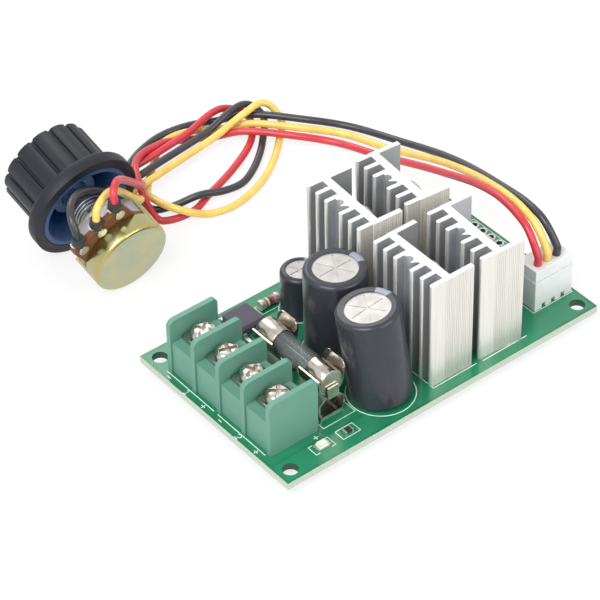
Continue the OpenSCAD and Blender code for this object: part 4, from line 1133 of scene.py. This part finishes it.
def tube_mesh(name: str, line: Sequence[Vector], radius: float, sides: int) -> bpy.types.Mesh:
    """A closed round tube along a line, with a UV map whose V runs along it.

    Args:
        name: The mesh's name.
        line: The centreline.
        radius: The tube's radius.
        sides: Points round it.

    Returns:
        The mesh.
    """
    turns = [2 * math.pi * k / sides for k in range(sides)]
    spokes = [(radius * math.cos(a), radius * math.sin(a)) for a in turns]
    rings, across = [], None
    length, lengths = 0.0, []
    for i, point in enumerate(line):
        along = (line[min(i + 1, len(line) - 1)] - line[max(i - 1, 0)]).normalized()
        across = across or along.orthogonal()
        across = (across - along * across.dot(along)).normalized()
        other = along.cross(across)
        length += (point - line[i - 1]).length if i else 0.0
        lengths.append(length)
        rings.append([point + across * u + other * v for u, v in spokes])
    mesh = bpy.data.meshes.new(name)
    build = bmesh.new()
    verts = [[build.verts.new(v) for v in ring] for ring in rings]
    uv = build.loops.layers.uv.new("UVMap")
    for i in range(len(rings) - 1):
        for k in range(sides):
            n = (k + 1) % sides
            face = build.faces.new((verts[i][k], verts[i][n], verts[i + 1][n], verts[i + 1][k]))
            around = ((k, i), (k + 1, i), (k + 1, i + 1), (k, i + 1))
            for loop, (u, v) in zip(face.loops, around):
                loop[uv].uv = (u / sides, lengths[v] / (2 * math.pi * radius))
    build.faces.new(list(reversed(verts[0])))
    build.faces.new(verts[-1])
    build.to_mesh(mesh)
    build.free()
    return mesh


@dataclass
class Wire:
    """One wire of the harness, from the plug to its lug."""

    node: str
    colour: Colour
    points: tuple[Point, ...]
    diameter: float = 1.6 * MM
    steps: int = 6
    sides: int = 16

    def build(self, with_pieces: Sequence[bpy.types.Object] = ()) -> bpy.types.Object:
        """Args:
            with_pieces: The pieces that go with it; not used.

        Returns:
            The wire.
        """
        place = [tuple(v * MM for v in p) for p in self.points]
        line = smooth_path(place, self.steps, TABLE_Z + self.diameter / 2)
        name = f"{self.node}_insulation"
        mesh = tube_mesh(name, line, self.diameter / 2, self.sides)
        mesh.materials.append(Insulation(f"{self.node}_vinyl", self.colour).material())
        mesh.polygons.foreach_set("use_smooth", [True] * len(mesh.polygons))
        wire = placed(name, mesh)
        ride(wire, "harness")
        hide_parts(self.node)
        return wire


# The wires' routes in millimetres, from the plug to the lugs, as in the part's source
RED_POINTS = (
    (30.35, -14.5, 11.4), (30.35, -14.5, 13.6), (31.5, -9, 18), (34, 3.5, 17), (36.5, 22, 9.5),
    (37, 42, 1.5), (34.5, 52, 0), (28.5, 58.5, 1), (21, 67, 1), (16, 72, -1), (9.5, 75, -0.5),
    (5, 75, 1), (-4, 71.5, 3.2), (-8.5, 64.5, 3.4), (-9.5, 60, 0.3), (-9, 56, -1), (-2.5, 54.5, -1),
    (3, 56.5, -1), (13, 60.5, -1), (21.5, 65.5, -1), (26, 71.5, -1), (26, 75, -0.5), (21, 76.5, 1.2),
    (11, 74, 1.2), (2, 72.6, 1.3), (-9.5, 70, 2), (-12, 58.2, 8.5), (-16.6, 53.6, 14.2),
    (-20.8, 50.4, 19), (-24.2, 47.8, 22.6), (-26.6, 45.8, 24.2), (-28.3, 44.3, 23.4),
    (-28.56, 43.7, 21.8), (-28.56, 43.82, 21.28),
)
YELLOW_POINTS = (
    (32.85, -14.5, 11.4), (32.85, -14.5, 13.6), (33.5, -9, 18), (36, 3.5, 16.5), (40, 23, 9),
    (40.5, 43, 1), (37.5, 53.5, 0), (31, 60, 1), (23.5, 68.5, 1), (19, 73, -1), (12.5, 77, -1),
    (6.5, 77, -1), (1.5, 73, -1), (-5.5, 66, -1), (-7.5, 60.5, 1), (-5.5, 54.5, 1), (0, 51.5, -1),
    (6, 50.5, -1), (14.5, 53, -1), (21.5, 57.5, -1), (27, 62.5, -1), (31, 67, -1), (29.5, 70.5, 2.4),
    (24, 70, 3), (15, 69.5, 1), (-1, 67, 1), (-9.5, 65.5, 1), (-12.6, 58.3, 5.2), (-17.2, 53.2, 10.8),
    (-21.8, 51.6, 16), (-26, 48.8, 20), (-29.4, 46.3, 21.6), (-32, 44.9, 20.9), (-32.65, 44.4, 19.2),
    (-32.65, 44.49, 18.49),
)
BLACK_POINTS = (
    (35.35, -14.5, 11.4), (35.35, -14.5, 13.6), (35.5, -9, 18), (38, 4.5, 15.5), (43, 25.5, 7.5),
    (43.5, 44.5, 1), (40, 55, 0), (33.5, 61.5, 1.2), (25.5, 71, 1), (20, 76, -1), (12.5, 79, -1),
    (5, 79, -1), (-4, 75, -1), (-10.5, 67, -1), (-8, 60, -1), (-4.5, 58.5, -1), (0.5, 56, 0.9),
    (6, 54.5, 0.2), (12, 55.5, -1), (18, 59, -1), (24, 64.5, -1), (29, 71, -1), (27.5, 74, 1),
    (22, 73, 2.4), (15, 72, 1), (-9.5, 68, 1), (-12.5, 64, 1), (-15, 59, 3), (-18.4, 55.6, 9.2),
    (-24.2, 55.2, 15.2), (-29.8, 53.4, 19), (-34, 50.6, 20.4), (-36.4, 47.6, 19.6), (-36.9, 45.6, 17.6),
    (-36.75, 45.2, 16.2), (-36.75, 45.17, 15.7),
)


@dataclass
class Harness(Part):
    """The plug in its header, and the three wires to the potentiometer."""

    def build(self) -> None:
        """Dresses the plug and makes the wires."""
        self.dress("header_housing", NYLON, 0.1 * MM)
        self.dress("header_pins", TIN, 0.05 * MM)
        plug = self.dress("plug_housing", NYLON, 0.12 * MM)
        contacts = self.dress("plug_contacts", BRASS)
        sleeves = self.dress("lug_sleeves", SHRINK_TUBE, 0.1 * MM)
        Wire("wire_red", linear(200, 50, 60), RED_POINTS).build((plug, contacts, sleeves))
        Wire("wire_yellow", linear(236, 202, 104), YELLOW_POINTS).build()
        Wire("wire_black", linear(50, 50, 54), BLACK_POINTS).build()


@dataclass
class Potentiometer(Part):
    """The potentiometer with its nut and lock washer, and its threaded bushing."""

    foot: Spot = (-26.0 * MM, 42.6 * MM)
    cover_radius: float = 8.55 * MM
    skirt_radius: float = 12.3 * MM
    rims_apart: float = 16 * MM
    thread_radius: float = 3.38 * MM
    thread_low: float = 12.3 * MM
    thread_high: float = 15.8 * MM
    thread_pitch: float = 0.75 * MM
    ridge_share: float = 0.36
    thread_sides: int = 40
    ridge_sides: int = 6

    @property
    def tilt(self) -> float:
        """The shaft's rise, in radians, since the cover's rim and the skirt's rim both touch the table."""
        return math.asin((self.skirt_radius - self.cover_radius) / self.rims_apart)

    def pose(self) -> Matrix:
        """The potentiometer's own frame: Z along the shaft from the back of the cover."""
        height = TABLE_Z + self.cover_radius * math.cos(self.tilt)
        return Matrix.Translation((*self.foot, height)) @ Matrix.Rotation(self.tilt - math.pi / 2, 4, "X")

    def build(self) -> None:
        """Dresses the potentiometer and cuts its thread."""
        axis = (0.0, math.cos(self.tilt), math.sin(self.tilt))
        self.dress("pot_cover", YellowZinc(axis), 0.1 * MM)
        self.dress("pot_front_plate", DIE_CAST, 0.1 * MM)
        self.dress("pot_wafer", CARD, 0.06 * MM)
        self.dress("resistive_track", CARBON)
        self.dress("pot_lugs", TIN, 0.05 * MM)
        self.dress("wiper", BRASS)
        self.dress("control_shaft", SHAFT, 0.15 * MM)
        self.dress("bushing_nut", NICKEL, 0.15 * MM)
        self.dress("lock_washer", NICKEL, 0.06 * MM)
        self._thread()

    def _thread(self) -> None:
        """Adds the bushing's thread as a row of low ridges."""
        sizes = {"Radius": self.thread_radius, "Ridge": self.thread_pitch * self.ridge_share}
        thread = Recipe("bushing_thread", sizes)
        path = thread.circle(thread.size("Radius"), self.thread_sides)
        ridge = thread.swept(path, thread.circle(thread.size("Ridge"), self.ridge_sides))
        thread.close(thread.on_points(ridge), DIE_CAST)
        count = int((self.thread_high - self.thread_low) / self.thread_pitch) + 1
        points = [(0.0, 0.0, self.thread_low + k * self.thread_pitch) for k in range(count)]
        piece = thread.run(seed_mesh("ridge_spots", points))
        piece.data.transform(self.pose())
        ride(piece, "harness")


@dataclass
class Knob(Part):
    """The control knob: its fluted shell and the insert inside it."""

    def build(self) -> None:
        """Dresses the knob."""
        self.dress("knob_shell", KNOB_PLASTIC, 0.25 * MM)
        self.dress("knob_insert", INSERT_PLASTIC, 0.12 * MM)


@dataclass
class Studio:
    """A pale floor, soft light and the camera at the photograph's angle."""

    camera_place: Point = (-0.26703842, -0.32036033, 0.37008334)
    azimuth: float = math.radians(-37.94125834)
    elevation: float = math.radians(40.82519330)
    roll: float = math.radians(-1.32873469)
    focal_pixels: float = 2847.12839
    picture_pixels: float = 600.0
    sensor: float = 36.0
    sight: Spot = (0.01, 20.0)
    floor_half: float = 3.0
    floor_white: float = 0.8
    sky: float = 0.58
    aim: Point = (0.0, 0.02, 0.0)
    lamps: tuple[tuple[str, Point, float, float], ...] = (
        ("key_light", (-0.55, -0.15, 0.75), 0.6, 7.0),
        ("fill_light", (0.25, -0.75, 0.55), 0.6, 3.6),
        ("back_light", (0.15, 0.7, 0.6), 0.5, 2.2),
    )

    def build(self) -> None:
        """Sets up the floor, the light and the camera."""
        self._floor()
        self._world()
        for name, place, size, power in self.lamps:
            self._lamp(name, place, size, power)
        self._camera()
        bpy.context.scene.view_settings.view_transform = "Standard"

    def _white_to_camera(self, tree: Tree, lit: bpy.types.Node, output: bpy.types.Node, share: float) -> None:
        """Mixes in plain white for camera, glossy and transmission rays.

        Args:
            tree: The floor's or the world's node tree.
            lit: The node that other rays see.
            output: The node that takes the result.
            share: How far the white covers what is lit.
        """
        kind = "ShaderNodeBackground" if lit.type == "BACKGROUND" else "ShaderNodeEmission"
        white = tree.first(kind, {0: WHITE, 1: 1.0})
        rays = tree.node("ShaderNodeLightPath").outputs
        seen = Field(tree, rays["Is Camera Ray"]).maths("MAXIMUM", rays["Is Glossy Ray"])
        seen = seen.maths("MAXIMUM", rays["Is Transmission Ray"])
        both = {0: seen * share, 1: lit.outputs[0], 2: white}
        tree.feed(output.inputs[0], tree.first("ShaderNodeMixShader", both))

    def _floor(self) -> None:
        """A plain pale floor that keeps a soft shadow."""
        half = self.floor_half
        corners = [(x * half, y * half, TABLE_Z) for x, y in ((-1, -1), (1, -1), (1, 1), (-1, 1))]
        mesh = bpy.data.meshes.new("floor")
        mesh.from_pydata(corners, [], [(0, 1, 2, 3)])
        floor = placed("floor", mesh)
        shader = Shader("floor_paper").set(Base_Color=(0.9, 0.9, 0.9), Roughness=0.9)
        self._white_to_camera(shader, shader.surface, shader.output, self.floor_white)
        mesh.materials.append(shader.material)

    def _world(self) -> None:
        """An even pale sky."""
        world = bpy.data.worlds.new("studio")
        world.use_nodes = True
        tree = Tree(world.node_tree)
        sky = tree.node("ShaderNodeBackground", {0: WHITE, 1: self.sky})
        self._white_to_camera(tree, sky, tree.node("ShaderNodeOutputWorld"), 1.0)
        bpy.context.scene.world = world

    def _lamp(self, name: str, place: Point, size: float, power: float) -> None:
        """A square soft light that faces the object.

        Args:
            name: The light's name.
            place: Where it stands.
            size: Its side.
            power: Its power in watts.
        """
        data = bpy.data.lights.new(name, "AREA")
        data.size = size
        data.energy = power
        lamp = placed(name, data)
        lamp.location = place
        lamp.rotation_euler = (Vector(self.aim) - Vector(place)).to_track_quat("-Z", "Y").to_euler()

    def _camera(self) -> None:
        """The camera that was solved from the photograph."""
        a, e, r = self.azimuth, self.elevation, self.roll
        back = Vector((math.sin(a) * math.cos(e), -math.cos(a) * math.cos(e), math.sin(e)))
        right = Vector((math.cos(a), math.sin(a), 0.0))
        up = back.cross(right)
        x_axis = right * math.cos(r) + up * math.sin(r)
        y_axis = up * math.cos(r) - right * math.sin(r)
        turn = Matrix((x_axis, y_axis, back)).transposed().to_4x4()
        data = bpy.data.cameras.new("camera")
        data.sensor_width = self.sensor
        data.lens = self.focal_pixels * self.sensor / self.picture_pixels
        data.clip_start, data.clip_end = self.sight
        camera = placed("camera", data)
        camera.matrix_world = Matrix.Translation(self.camera_place) @ turn
        bpy.context.scene.camera = camera


def main() -> None:
    """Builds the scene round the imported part."""
    logging.basicConfig(level=logging.INFO, format="%(name)s: %(message)s")
    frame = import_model()
    Studio().build()
    for kind in (Harness, Board, TerminalStrip, FuseHolder, Capacitors, HeatSinks, Potentiometer, Knob):
        kind(frame).build()
        LOG.info("%s built", kind.__name__)


if __name__ == "__main__":
    main()
